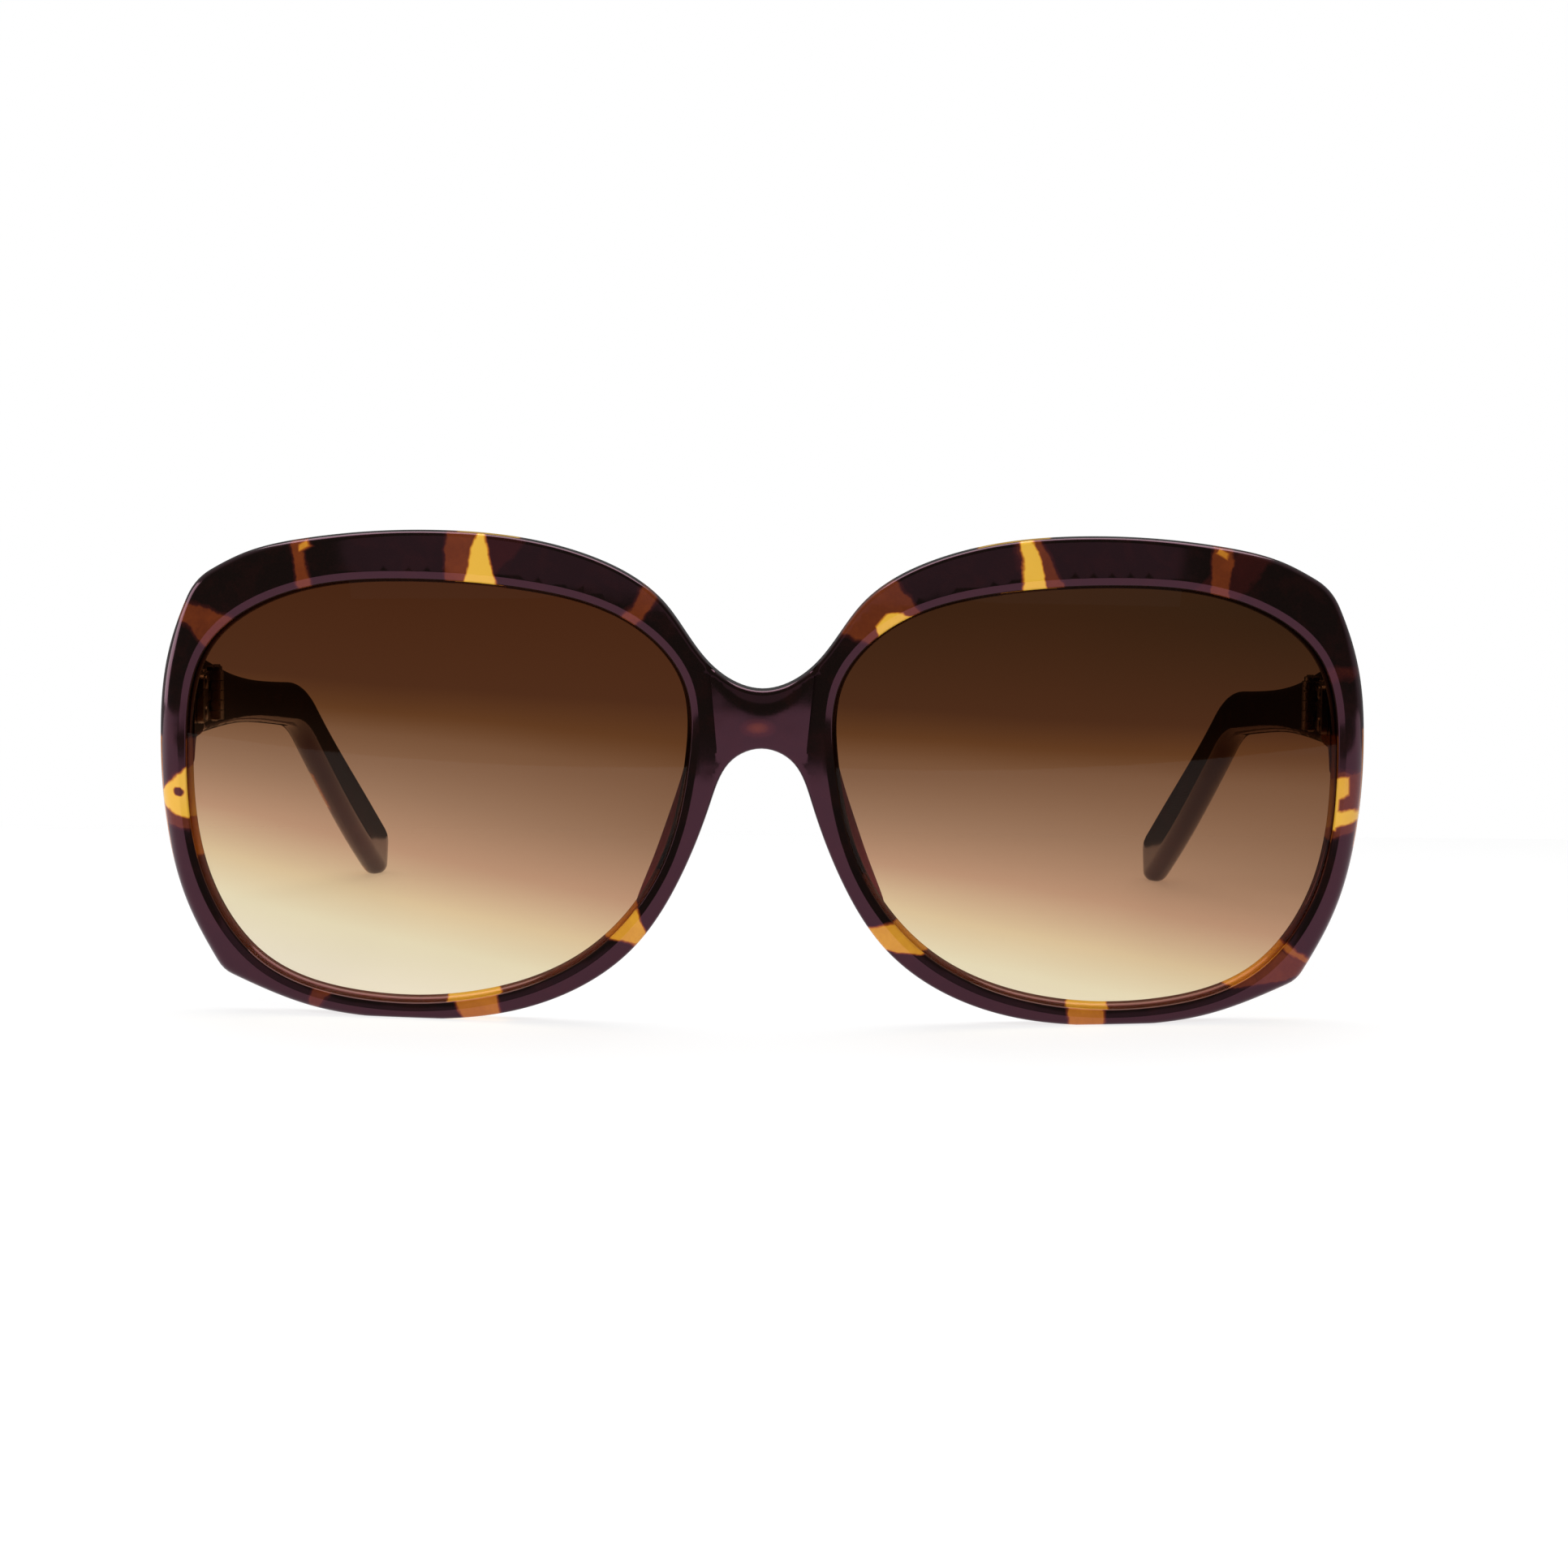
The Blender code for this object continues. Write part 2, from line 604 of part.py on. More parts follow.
def temple_centre(y):
    """The middle of the left temple's section at depth y, and its slope there."""
    x = TEMPLE_MIDDLE_X
    if y > INWARD_START_Y:
        x -= INWARD_AT_TIP * ((y - INWARD_START_Y) / (TIP_Y - INWARD_START_Y)) ** INWARD_POWER
    hook_end_y = HOOK_START_Y + HOOK_RADIUS * (math.sin(HOOK_SLOPE) - math.sin(TEMPLE_SLOPE))
    z = HINGE_Z - math.tan(TEMPLE_SLOPE) * (min(y, HOOK_START_Y) - JOINT_Y)
    slope = TEMPLE_SLOPE
    if y > HOOK_START_Y:
        slope = math.asin(min(math.sin(TEMPLE_SLOPE) + (y - HOOK_START_Y) / HOOK_RADIUS, math.sin(HOOK_SLOPE)))
        z -= HOOK_RADIUS * (math.cos(TEMPLE_SLOPE) - math.cos(slope))
    if y > hook_end_y:
        z -= math.tan(HOOK_SLOPE) * (y - hook_end_y)
    return Vector((x, y, z)), slope


def temple_half_height(y):
    line = smooth_line(TEMPLE_HEIGHTS)
    return float(np.interp(y / MM, line[:, 0], line[:, 1])) * MM


def temple_section(y, sign, section):
    """A section's points set across the temple at depth y. It stands upright where it meets the front."""
    centre, slope = temple_centre(y)
    lean = slope * min(1, (y - JOINT_Y) / (12 * MM))
    up = Vector((0, math.sin(lean), math.cos(lean)))
    points = [centre + Vector((u, 0, 0)) + up * v for u, v in section]
    return [Vector((sign * p.x, p.y, p.z)) for p in points]


def make_temple(side, sign, parent):
    """The temple: straight, then hooked behind the ear, with a blind bore for its core wire."""
    stations = []
    for i in range(TEMPLE_STATIONS + 1):
        y = JOINT_Y + BUTT_GAP + (TIP_Y - JOINT_Y) * i / TEMPLE_STATIONS
        section = rounded_rectangle(TEMPLE_THICKNESS / 2, temple_half_height(y), TEMPLE_CORNER, 2)
        stations.append(temple_section(y, sign, section))
    for past, share in ((1.4 * MM, 0.88), (2.6 * MM, 0.6), (3.1 * MM, 0.25)):
        half = temple_half_height(TIP_Y) * share
        section = rounded_rectangle(TEMPLE_THICKNESS / 2 * (0.3 + 0.7 * share), half, TEMPLE_CORNER, 2)
        stations.append(temple_section(TIP_Y + past, sign, section))
    bm = bmesh.new()
    outer = swept(bm, stations, cap_start=False)
    bore = rounded_rectangle(CORE_HALF_THICKNESS + CORE_GAP, CORE_HALF_HEIGHT + CORE_GAP, TEMPLE_CORNER, 2)
    inner = swept(bm, core_stations(sign, bore, JOINT_Y + BUTT_GAP, CORE_END_Y + 1 * MM), cap_start=False)
    band(bm, outer[0], inner[0])
    for v in bm.verts:
        v.co.z = max(v.co.z, 0)
    temple = finish_mesh(f"temple_{side}", bm, tortoise(), parent, sharp=40)
    holes = bmesh.new()
    for _, place in pin_places(sign, temple_plate_middle()):
        cylinder(holes, place, PIN_RADIUS + 0.1 * MM, 2 * PIN_DEPTH + 0.4 * MM, "x", 10)
    boolean(temple, helper(f"temple_pin_holes_{side}", holes, parent), "DIFFERENCE")
    return temple


def core_stations(sign, section, start_y, end_y):
    return [
        temple_section(start_y + (end_y - start_y) * i / TEMPLE_STATIONS, sign, section)
        for i in range(TEMPLE_STATIONS + 1)
    ]


def make_core(side, sign, parent):
    """The metal wire that stiffens the temple and lets an optician bend it."""
    section = rounded_rectangle(CORE_HALF_THICKNESS, CORE_HALF_HEIGHT, 0.4 * MM, 1)
    bm = bmesh.new()
    swept(bm, core_stations(sign, section, JOINT_Y + 0.6 * MM, CORE_END_Y))
    return finish_mesh(f"temple_core_{side}", bm, nickel(), parent)


def empty(name, place, parent=None):
    made = bpy.data.objects.new(name, None)
    bpy.context.scene.collection.objects.link(made)
    made.location = place
    made.parent = parent
    return made


def centre_over_origin(root):
    """Moves the sunglasses so that the origin is under the middle of their box."""
    bpy.context.view_layer.update()
    solids = [o for o in bpy.data.objects if o.type == "MESH" and not o.hide_render]
    depths = [(o.matrix_world @ v.co).y for o in solids for v in o.data.vertices]
    root.location.y = -(min(depths) + max(depths)) / 2


def main():
    for old in list(bpy.data.objects):
        bpy.data.objects.remove(old, do_unlink=True)
    root = empty("sunglasses", Vector((0, 0, 0)))
    make_front(root)
    for side, sign in SIDES:
        pivot = empty(f"hinge_axis_{side}", Vector((sign * HINGE_X, JOINT_Y, HINGE_Z)), root)
        make_lens(side, sign, root)
        make_nose_pad(side, sign, root)
        make_hinge_leaf("front_hinge", side, sign, root, (0, 2, 4), -1, FRONT_PLATE_LENGTH)
        make_pins("front_hinge_pin", side, sign, root, front_plate_middle())
        make_screw(side, sign, root)
        make_hinge_leaf("temple_hinge", side, sign, pivot, (1, 3), 1, TEMPLE_PLATE_LENGTH)
        make_pins("temple_hinge_pin", side, sign, pivot, temple_plate_middle())
        make_temple(side, sign, pivot)
        make_core(side, sign, pivot)
    centre_over_origin(root)


main()
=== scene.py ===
"""The looks of the cat-eye sunglasses.

A polished tortoiseshell front with bevelled lens openings, gradient lenses, soft-edged nose pads and
temples, and small nickel hinges. Shapes are worked out in the design's own millimetres, in which y = 0 is
the foremost point of the front, and on the wearer's left side (+X), then mirrored. placed() turns them into
the frame's metres.
"""

import json
import math

import bmesh
import bpy
import numpy as np
from mathutils import Matrix, Vector
from mathutils.geometry import delaunay_2d_cdt


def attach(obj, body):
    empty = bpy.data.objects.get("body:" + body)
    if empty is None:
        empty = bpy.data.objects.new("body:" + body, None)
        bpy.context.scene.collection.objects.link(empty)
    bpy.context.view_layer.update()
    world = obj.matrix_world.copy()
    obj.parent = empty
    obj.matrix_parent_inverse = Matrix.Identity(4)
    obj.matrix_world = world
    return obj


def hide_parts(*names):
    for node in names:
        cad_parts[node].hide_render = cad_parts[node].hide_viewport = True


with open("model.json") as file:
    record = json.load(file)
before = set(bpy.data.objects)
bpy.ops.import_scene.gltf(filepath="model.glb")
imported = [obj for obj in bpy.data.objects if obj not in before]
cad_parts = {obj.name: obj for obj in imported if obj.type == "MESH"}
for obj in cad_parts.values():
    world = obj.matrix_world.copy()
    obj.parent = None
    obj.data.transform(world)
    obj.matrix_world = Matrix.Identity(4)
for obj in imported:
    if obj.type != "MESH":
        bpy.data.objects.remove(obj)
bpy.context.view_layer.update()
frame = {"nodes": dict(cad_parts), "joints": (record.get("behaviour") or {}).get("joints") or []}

MM = 0.001
SIDES = (("left", 1), ("right", -1))
JOINTS = {joint["child"]: joint for joint in frame["joints"]}
HINGE_X, FRAME_HINGE_Y, HINGE_Z = (float(v) / MM for v in JOINTS["temple_left"]["pos_m"])
HINGE_Y = 21.5  # the hinge's depth in the design
FRONT_Y = FRAME_HINGE_Y - HINGE_Y  # where the design's y = 0 lies in the frame

# ---- the front's lines, in millimetres
LENS_CENTRE = (38.5, 30.0)
WRAP_SLOPE = math.tan(math.radians(8))
LENS_RADIUS, LENS_RADIUS_UPRIGHT = 130.0, 200.0
BRIDGE_HALF_WIDTH = 8.5
RIM_DEPTH = 4.2
REST_FLAT = 0.12  # how much of the rims' lowest parts is cut flat, to stand on
UPPER_CORNER, LOWER_CORNER = (68.75, 52.35), (65.3, 4.9)
BROW_LINE = (
    (0, 40.35), (5.8, 42.9), (11.8, 50.6), (21.5, 56.3), (38.5, 58.8), (55.7, 57.45), (62.8, 55.6),
    UPPER_CORNER,
)
SIDE_LINE = (UPPER_CORNER, (72.0, 43.8), (73.05, 33.0), (72.1, 21.4), (69.4, 12.3), LOWER_CORNER)
SIDE_REACH = [[point[k] for point in reversed(SIDE_LINE)] for k in (1, 0)]  # heights, and how far out
LOWER_LINE = (
    LOWER_CORNER,
    (54.1, 1.0), (42.5, 0.0), (28.7, 1.55), (15.3, 9.1), (9.5, 18.0), (6.0, 27.0), (3.4, 32.1), (0, 33.4),
)
UPPER_TRIM, LOWER_TRIM = 2.2, 1.1  # how much of each line a rounded corner takes
OPENING_LINE = (
    (69.65, 31.5), (67.3, 43.9), (57.9, 50.7), (43.0, 52.9), (27.5, 51.9), (15.2, 47.8), (9.3, 41.0),
    (8.75, 31.5), (11.9, 18.9), (21.0, 7.85), (33.9, 2.7), (48.0, 2.15), (60.3, 6.1), (67.2, 15.3),
)
SPAN_SAMPLES = 40  # between each two points of a smooth line
OUTLINE_STEPS = 330  # along each half of the outline
OPENING_STEPS = 250
FACE_SPACING, BRIDGE_SPACING = 1.1, 0.4  # between the points that fill the front's face
FACE_GRID, BACK_GRID = (74, 60), (70, 60)  # how far out and how high those points reach
BRIDGE_GRID, BRIDGE_GRID_LOW = (8, 44), 30
BRIDGE_CREASE = ((5.15, 31.0), (6.2, 42.0))  # the edge of the bridge's leaning middle
BRIDGE_LEAN, BRIDGE_LEVEL_Z = 0.052, 31.8  # how much it leans forward above the height where it's level
BRIDGE_ROLL = 0.05  # how quickly the bridge's top rolls back
BRIDGE_ROLL_Z, BRIDGE_ROLL_RISE = 37.4, 0.11  # from which height at the middle, and how that rises outwards
EDGE_RADIUS, SIDE_EDGE_RADIUS = 0.6, 1.15  # the front's outer edges, at the middle and at the sides
SIDE_EDGE_X = (42, 66)  # between which they change
SIDE_EDGE_EXTRA = 0.65  # and how much rounder they are halfway up the sides
EXTRA_X, EXTRA_LOW_Z, EXTRA_HIGH_Z = (66, 70), (14, 24), (49, 43)  # where that comes in, from none to all
BEVEL_WIDTH, BEVEL_DEPTH = 0.95, 0.52  # the bevel round each lens
BEVEL_OUTER_RADIUS, BEVEL_INNER_RADIUS = 0.14, 0.32  # its two edges
WALL_LEAN = 0.45  # how far the wall behind each lens leans into the opening
GROOVE = ((0.1, 0.92), (0.8, 1.65), (0.0, 2.5))  # (out, depth) of the groove that holds the lens
LENS_FRONT, LENS_THICKNESS = 0.8, 1.7
LENS_EDGE = ((-0.03, 0), (-0.03, 0.1), (0.62, 0.5), (-0.03, 0.9), (-0.03, 1))  # out, and share of thickness
LENS_RINGS = 26

# ---- hinges, temples and pads, in millimetres
TEMPLE_INNER_X = 69.0
TEMPLE_THICKNESS = 3.6
TEMPLE_MIDDLE_X = TEMPLE_INNER_X + TEMPLE_THICKNESS / 2
CORNER_STEPS = 6
BUTT_GAP = 0.06  # from the hinge line to each of the two faces that meet there
ENDPIECE_ROOT_Y, ENDPIECE_HALF_HEIGHT = 12.4, 5.2
ENDPIECE_FLARE, ENDPIECE_FLARE_LENGTH = 3.0, 3.2  # how much taller it is at its root, and for how long
TEMPLE_SLOPE, HOOK_SLOPE = math.radians(6), math.radians(30.3)
HOOK_START_Y, HOOK_RADIUS, TIP_Y = 92.0, 30.0, 142.0
TEMPLE_HEIGHTS = ((21.5, 4.9), (34, 4.3), (60, 3.0), (92, 3.0), (112, 3.5), (134, 4.1), (142, 4.0))
INWARD_START_Y, INWARD_AT_TIP, INWARD_POWER = 34.0, 12.0, 1.75
TEMPLE_STATIONS = 150
TEMPLE_CORNER, HOOK_CORNER_EXTRA, TIP_CORNER, TIP_LENGTH = 1.35, 0.4, 1.75, 3.1
BUTT_ROUNDING, BUTT_INSET = 0.5, 0.18  # the rounded edge where a temple meets the front: length and depth
CORE_END_Y, CORE_BORE = 124.0, (0.62, 1.02, 0.4)
PAD_LINE = ((7.2, 33.6), (7.9, 28.5), (9.3, 23.4), (11.3, 18.4), (13.9, 13.7))
PAD_HEIGHT, PAD_END_SHARE, PAD_STATIONS = 5.6, 0.16, 60
PAD_SECTION = (
    (-1.25, 0), (-0.95, 0.3), (-0.45, 0.62), (0.3, 0.88), (1.15, 1.0),
    (1.85, 0.94), (2.15, 0.75), (1.95, 0.45), (1.5, 0.2), (1.25, 0),
)
PAD_END_WIDTH, PAD_OVERLAP = 0.55, 0.02  # the width's share at the ends, and how far it goes into the rim


# ======== lines and surfaces
def smooth_line(points, closed=False, flat_start=False, flat_end=False):
    """A smooth cubic line through the points, finely sampled. A flat end leaves its point level."""
    knots = np.array(points, float)
    if closed:
        knots = np.vstack([knots, knots[:1]])
    spans = np.linalg.norm(np.diff(knots, axis=0), axis=1)
    count = len(knots)
    matrix, right = np.zeros((count, count)), np.zeros((count, knots.shape[1]))
    for i in range(1, count - 1):
        before, after = spans[i - 1], spans[i]
        matrix[i, i - 1 : i + 2] = after, 2 * (before + after), before
        step_before = (knots[i] - knots[i - 1]) / before
        step_after = (knots[i + 1] - knots[i]) / after
        right[i] = 3 * (after * step_before + before * step_after)
    if closed:
        before, after = spans[-1], spans[0]
        matrix[0, 0], matrix[0, 1], matrix[0, -2] = 2 * (before + after), before, after
        step_before, step_after = (knots[-1] - knots[-2]) / before, (knots[1] - knots[0]) / after
        right[0] = 3 * (after * step_before + before * step_after)
        matrix[-1, -1], matrix[-1, 0] = 1, -1
    else:
        for row, near, span, flat in ((0, 1, 0, flat_start), (count - 1, count - 2, -1, flat_end)):
            matrix[row, row] = 2
            chord = (knots[near] - knots[row]) / spans[span] * (1 if row == 0 else -1)
            if flat:
                right[row] = 2 * np.sign(chord[0]), 0
            else:
                matrix[row, near] = 1
                right[row] = 3 * chord
    slopes = np.linalg.solve(matrix, right)
    line = []
    for i, span in enumerate(spans):
        for t in np.arange(SPAN_SAMPLES) / SPAN_SAMPLES:
            line.append(
                (1 + 2 * t) * (1 - t) ** 2 * knots[i]
                + t * (1 - t) ** 2 * span * slopes[i]
                + t * t * (3 - 2 * t) * knots[i + 1]
                + t * t * (t - 1) * span * slopes[i + 1]
            )
    if not closed:
        line.append(knots[-1])
    return np.array(line)


def lengths_along(line):
    return np.concatenate([[0], np.cumsum(np.linalg.norm(np.diff(line, axis=0), axis=1))])


def evenly(line, steps):
    """The line's points resampled to equal steps."""
    along = lengths_along(line)
    wanted = np.linspace(0, along[-1], steps + 1)
    return np.stack([np.interp(wanted, along, line[:, k]) for k in range(line.shape[1])], axis=1)


def bent(start, corner, end, shares):
    """Points of the curve that leaves start and reaches end along the lines to the corner."""
    return [(1 - t) ** 2 * start + 2 * t * (1 - t) * corner + t * t * end for t in shares]


def rounded_corner(first, second, trim):
    """The two lines joined, with their shared corner rounded over the trim length of each."""
    along_first, along_second = lengths_along(first), lengths_along(second)
    kept_first = first[along_first < along_first[-1] - trim]
    kept_second = second[along_second > trim]
    turn = bent(kept_first[-1], first[-1], kept_second[0], np.linspace(0.1, 0.9, 9))
    return np.vstack([kept_first, turn, kept_second])


def outline():
    """The front's whole outline, anticlockwise as seen from the front, mirrored about x = 0."""
    brow = smooth_line(BROW_LINE, flat_start=True)
    side = smooth_line(SIDE_LINE)
    lower = smooth_line(LOWER_LINE, flat_end=True)
    half = rounded_corner(rounded_corner(brow, side, UPPER_TRIM), lower, LOWER_TRIM)
    half = evenly(half, OUTLINE_STEPS)
    half[:, 1] = np.maximum(half[:, 1] - REST_FLAT, 0)
    return np.vstack([half, half[-2:0:-1] * (-1, 1)])[::-1]


def opening(sign):
    """A lens opening's line, anticlockwise as seen from the front."""
    line = smooth_line(OPENING_LINE, closed=True)
    loop = evenly(np.vstack([line, line[:1]]), OPENING_STEPS)[:-1]
    return loop if sign > 0 else (loop * (-1, 1))[::-1]


def smooth_share(value, low, high):
    """0 below low and 1 above high, with a smooth passage between."""
    share = np.clip((value - low) / (high - low), 0, 1)
    return share * share * (3 - 2 * share)


def outward(loop, distance):
    """A closed anticlockwise loop moved outwards by the distance."""
    along = np.roll(loop, -1, axis=0) - np.roll(loop, 1, axis=0)
    along /= np.linalg.norm(along, axis=1)[:, None]
    normals = np.stack([along[:, 1], -along[:, 0]], axis=1)
    return loop + np.broadcast_to(distance, len(loop))[:, None] * normals


def face_depth(x, z):
    """How far the front's curved face lies behind its foremost point, at (x, z)."""
    x = abs(x)
    start = BRIDGE_HALF_WIDTH - LENS_CENTRE[0]
    if x > BRIDGE_HALF_WIDTH:
        across = x - LENS_CENTRE[0]
        side = WRAP_SLOPE * (across - start) + (across**2 - start**2) / (2 * LENS_RADIUS)
    else:
        start_slope = WRAP_SLOPE + start / LENS_RADIUS
        side = start_slope * (x**2 - BRIDGE_HALF_WIDTH**2) / (2 * BRIDGE_HALF_WIDTH)
    return side + (z - LENS_CENTRE[1]) ** 2 / (2 * LENS_RADIUS_UPRIGHT)


def bridge_edge(z):
    heights = [height for _, height in BRIDGE_CREASE]
    return float(np.interp(z, heights, [x for x, _ in BRIDGE_CREASE]))


def bridge_shape(x, z, depth):
    """How much further back the bridge's middle lies: a facet that leans forward, its top rolled back."""
    if abs(x) > bridge_edge(z) or depth > RIM_DEPTH / 2:
        return 0
    lean = -BRIDGE_LEAN * max(0, z - BRIDGE_LEVEL_Z)
    roll = BRIDGE_ROLL * max(0, z - BRIDGE_ROLL_Z - BRIDGE_ROLL_RISE * x**2) ** 2
    return (lean + roll) * (1 - 2 * depth / RIM_DEPTH)


def on_face(point, depth):
    x, z = point
    return Vector((x, face_depth(x, z) + bridge_shape(x, z, depth) + depth, z))


def placed(point):
    """A design point in the frame's metres."""
    return Vector((point[0] * MM, (point[1] + FRONT_Y) * MM, point[2] * MM))


def rounding(corner, start, end, steps):
    """Points that round a section's corner from start to end."""
    start, corner, end = (np.array(p, float) for p in (start, corner, end))
    return [tuple(p) for p in bent(start, corner, end, np.linspace(0, 1, steps + 1))]


# ======== mesh tools
def band(bm, ring_a, ring_b):
    """Joins two closed rings of equal count with quads."""
    for i in range(len(ring_a)):
        j = (i + 1) % len(ring_a)
        bm.faces.new((ring_a[i], ring_a[j], ring_b[j], ring_b[i]))


def fan(bm, ring, tip):
    """Joins a closed ring to one vertex with triangles."""
    for a, b in zip(ring, ring[1:] + ring[:1]):
        bm.faces.new((a, b, tip))


def section_rings(bm, loop, section):
    """Rings of vertices along a loop, one for each (out, depth) of the section, joined by bands.

    An out or a depth may be an array with a value for each point of the loop.
    """
    rings = []
    for out, depth in section:
        depths = np.broadcast_to(depth, len(loop))
        rings.append([bm.verts.new(on_face(p, d)) for p, d in zip(outward(loop, out), depths)])
    for ring_a, ring_b in zip(rings, rings[1:]):
        band(bm, ring_a, ring_b)
    return rings


def swept(bm, stations, cap_start=True):
    """Joins rings of points with bands, and caps the ends."""
    rings = [[bm.verts.new(p) for p in station] for station in stations]
    for ring_a, ring_b in zip(rings, rings[1:]):
        band(bm, ring_a, ring_b)
    if cap_start:
        bm.faces.new(rings[0])
    bm.faces.new(rings[-1])
    return rings


def inside(points, loop):
    """For each flat point, whether it lies in the closed loop."""
    x, z = points[:, 0], points[:, 1]
    result = np.zeros(len(points), bool)
    for (ax, az), (bx, bz) in zip(loop, np.roll(loop, -1, axis=0)):
        if az == bz:
            continue
        spans = (az > z) != (bz > z)
        result ^= spans & (x < ax + (z - az) * (bx - ax) / (bz - az))
    return result


def grid_points(half_width, top, spacing):
    columns, rows = np.meshgrid(np.arange(-half_width, half_width, spacing), np.arange(0, top, spacing))
    return np.stack([columns.ravel(), rows.ravel()], axis=1)


def face_points():
    """Points that carry the front's face: finer on the bridge, and on both sides of its creases."""
    coarse = grid_points(*FACE_GRID, FACE_SPACING)
    fine = grid_points(*BRIDGE_GRID, BRIDGE_SPACING)
    coarse = coarse[(np.abs(coarse[:, 0]) > 7.5) | (coarse[:, 1] > 43)]
    edges = np.array([bridge_edge(z) for z in fine[:, 1]])
    near = np.abs(np.abs(fine[:, 0]) - edges) < BRIDGE_SPACING * 0.6
    fine = fine[(fine[:, 1] > BRIDGE_GRID_LOW) & (np.abs(fine[:, 0]) < 7.3) & ~near]
    creases = []
    for z in np.arange(BRIDGE_GRID_LOW, BRIDGE_GRID[1], BRIDGE_SPACING * 0.6):
        creases += [(sign * (bridge_edge(z) + aside), z) for sign in (1, -1) for aside in (-0.025, 0.025)]
    return np.vstack([coarse, fine, creases])


def fill_between(bm, outer_ring, hole_rings, flatten, lift=None, points=None):
    """Fills the area inside the outer ring and outside the hole rings with triangles.

    flatten gives a vertex's flat place. Inner points may be given, and lift puts them on the surface.
    """
    rings = [outer_ring, *hole_rings]
    verts = [v for ring in rings for v in ring]
    loops = [np.array([flatten(v) for v in ring]) for ring in rings]
    edges, first = [], 0
    for ring in rings:
        edges += [(first + i, first + (i + 1) % len(ring)) for i in range(len(ring))]
        first += len(ring)
    flat = np.vstack(loops)
    if points is not None:
        keep = inside(points, loops[0])
        for hole in loops[1:]:
            keep &= ~inside(points, hole)
        points = points[keep]
        nearest = np.min(np.linalg.norm(points[:, None] - flat[None], axis=2), axis=1)
        points = points[nearest > 0.25]
        verts += [bm.verts.new(lift(p)) for p in points]
        flat = np.vstack([flat, points])
    _, _, triangles, origins, _, _ = delaunay_2d_cdt([Vector(p) for p in flat], edges, [], 1, 1e-7)
    corners = np.array([[origins[i][0] for i in triangle] for triangle in triangles])
    centres = flat[corners].mean(axis=1)
    keep = np.ones(len(corners), bool)
    for hole in loops[1:]:
        keep &= ~inside(centres, hole)
    for triangle in corners[keep]:
        bm.faces.new([verts[i] for i in triangle])


def linked(name, data):
    """A new object in the scene."""
    made = bpy.data.objects.new(name, data)
    bpy.context.scene.collection.objects.link(made)
    return made


def shade(mesh, sharp):
    """Smooth shading, but with a sharp edge where the surface turns by more than sharp, in degrees."""
    mesh.shade_smooth()
    mesh.set_sharp_from_angle(angle=math.radians(sharp))


def finished(name, bm, mat, sharp=35, sign=1):
    """Turns a bmesh in design millimetres into an object in the frame, mirrored if sign is -1."""
    for v in bm.verts:
        place = placed(v.co)
        v.co = Vector((sign * place.x, place.y, place.z))
    bmesh.ops.recalc_face_normals(bm, faces=bm.faces)
    mesh = bpy.data.meshes.new(name)
    bm.to_mesh(mesh)
    bm.free()
    shade(mesh, sharp)
    mesh.materials.append(mat)
    return linked(name, mesh)


def configured(thing, **settings):
    """The node, modifier or light, with its settings made."""
    for key, value in settings.items():
        setattr(thing, key, value)
    return thing


def apply_modifiers(obj):
    """Bakes an object's modifiers into its mesh."""
    bpy.context.view_layer.update()
    graph = bpy.context.evaluated_depsgraph_get()
    mesh = bpy.data.meshes.new_from_object(obj.evaluated_get(graph))
    obj.modifiers.clear()
    obj.data = mesh


def boolean(target, other, operation):
    modifier = target.modifiers.new(other.name, "BOOLEAN")
    configured(modifier, operation=operation, object=other, solver="EXACT")
    apply_modifiers(target)
    bpy.data.objects.remove(other, do_unlink=True)


def weighted_normals(obj):
    """Keeps broad faces looking even beside their narrow rounded edges."""
    configured(obj.modifiers.new("even shading", "WEIGHTED_NORMAL"), weight=80, keep_sharp=True)


def bevelled(obj, width):
    modifier = obj.modifiers.new("soft edges", "BEVEL")
    configured(modifier, width=width * MM, segments=2, limit_method="ANGLE", angle_limit=math.radians(40))
    modifier.harden_normals = True


def rounded_rectangle(half_width, half_height, corner):
    """Points (u, v) of a rectangle with rounded corners."""
    corner = min(corner, half_width * 0.98, half_height * 0.98)
    points = []
    for quarter, (su, sv) in enumerate(((1, 1), (-1, 1), (-1, -1), (1, -1))):
        for step in range(CORNER_STEPS + 1):
            angle = math.pi / 2 * (quarter + step / CORNER_STEPS)
            u = su * (half_width - corner) + corner * math.cos(angle)
            v = sv * (half_height - corner) + corner * math.sin(angle)
            points.append((u, v))
    return points


def turned(profile, middle, axis, segments):
    """A closed turned solid from (radius, height) points, both ends on the axis."""
    bm = bmesh.new()
    rings = []
    for radius, height in profile:
        angles = [2 * math.pi * i / segments for i in range(segments)] if radius > 0 else [0]
        ring = []
        for angle in angles:
            local = Vector((radius * math.cos(angle), radius * math.sin(angle), height))
            if axis == "x":
                local = Vector((local.z, local.x, local.y))
            ring.append(bm.verts.new(middle + local))
        rings.append(ring)
    for ring_a, ring_b in zip(rings, rings[1:]):
        if len(ring_a) == len(ring_b):
            band(bm, ring_a, ring_b)
            continue
        tip, ring = (ring_a[0], ring_b) if len(ring_a) == 1 else (ring_b[0], ring_a)
        fan(bm, ring, tip)
    return bm


def slab(bm, outer, holes, low, high, point):
    """A flat plate with holes. point turns (u, v, height) into a design point."""
    layers = []
    for height in (low, high):
        layers.append([[bm.verts.new(point(u, v, height)) for u, v in loop] for loop in (outer, *holes)])
    flat = {}
    for layer in layers:
        for loop, ring in zip((outer, *holes), layer):
            flat.update({v: place for v, place in zip(ring, loop)})
        fill_between(bm, layer[0], layer[1:], lambda v: flat[v])
    for ring_a, ring_b in zip(*layers):
        band(bm, ring_a, ring_b)


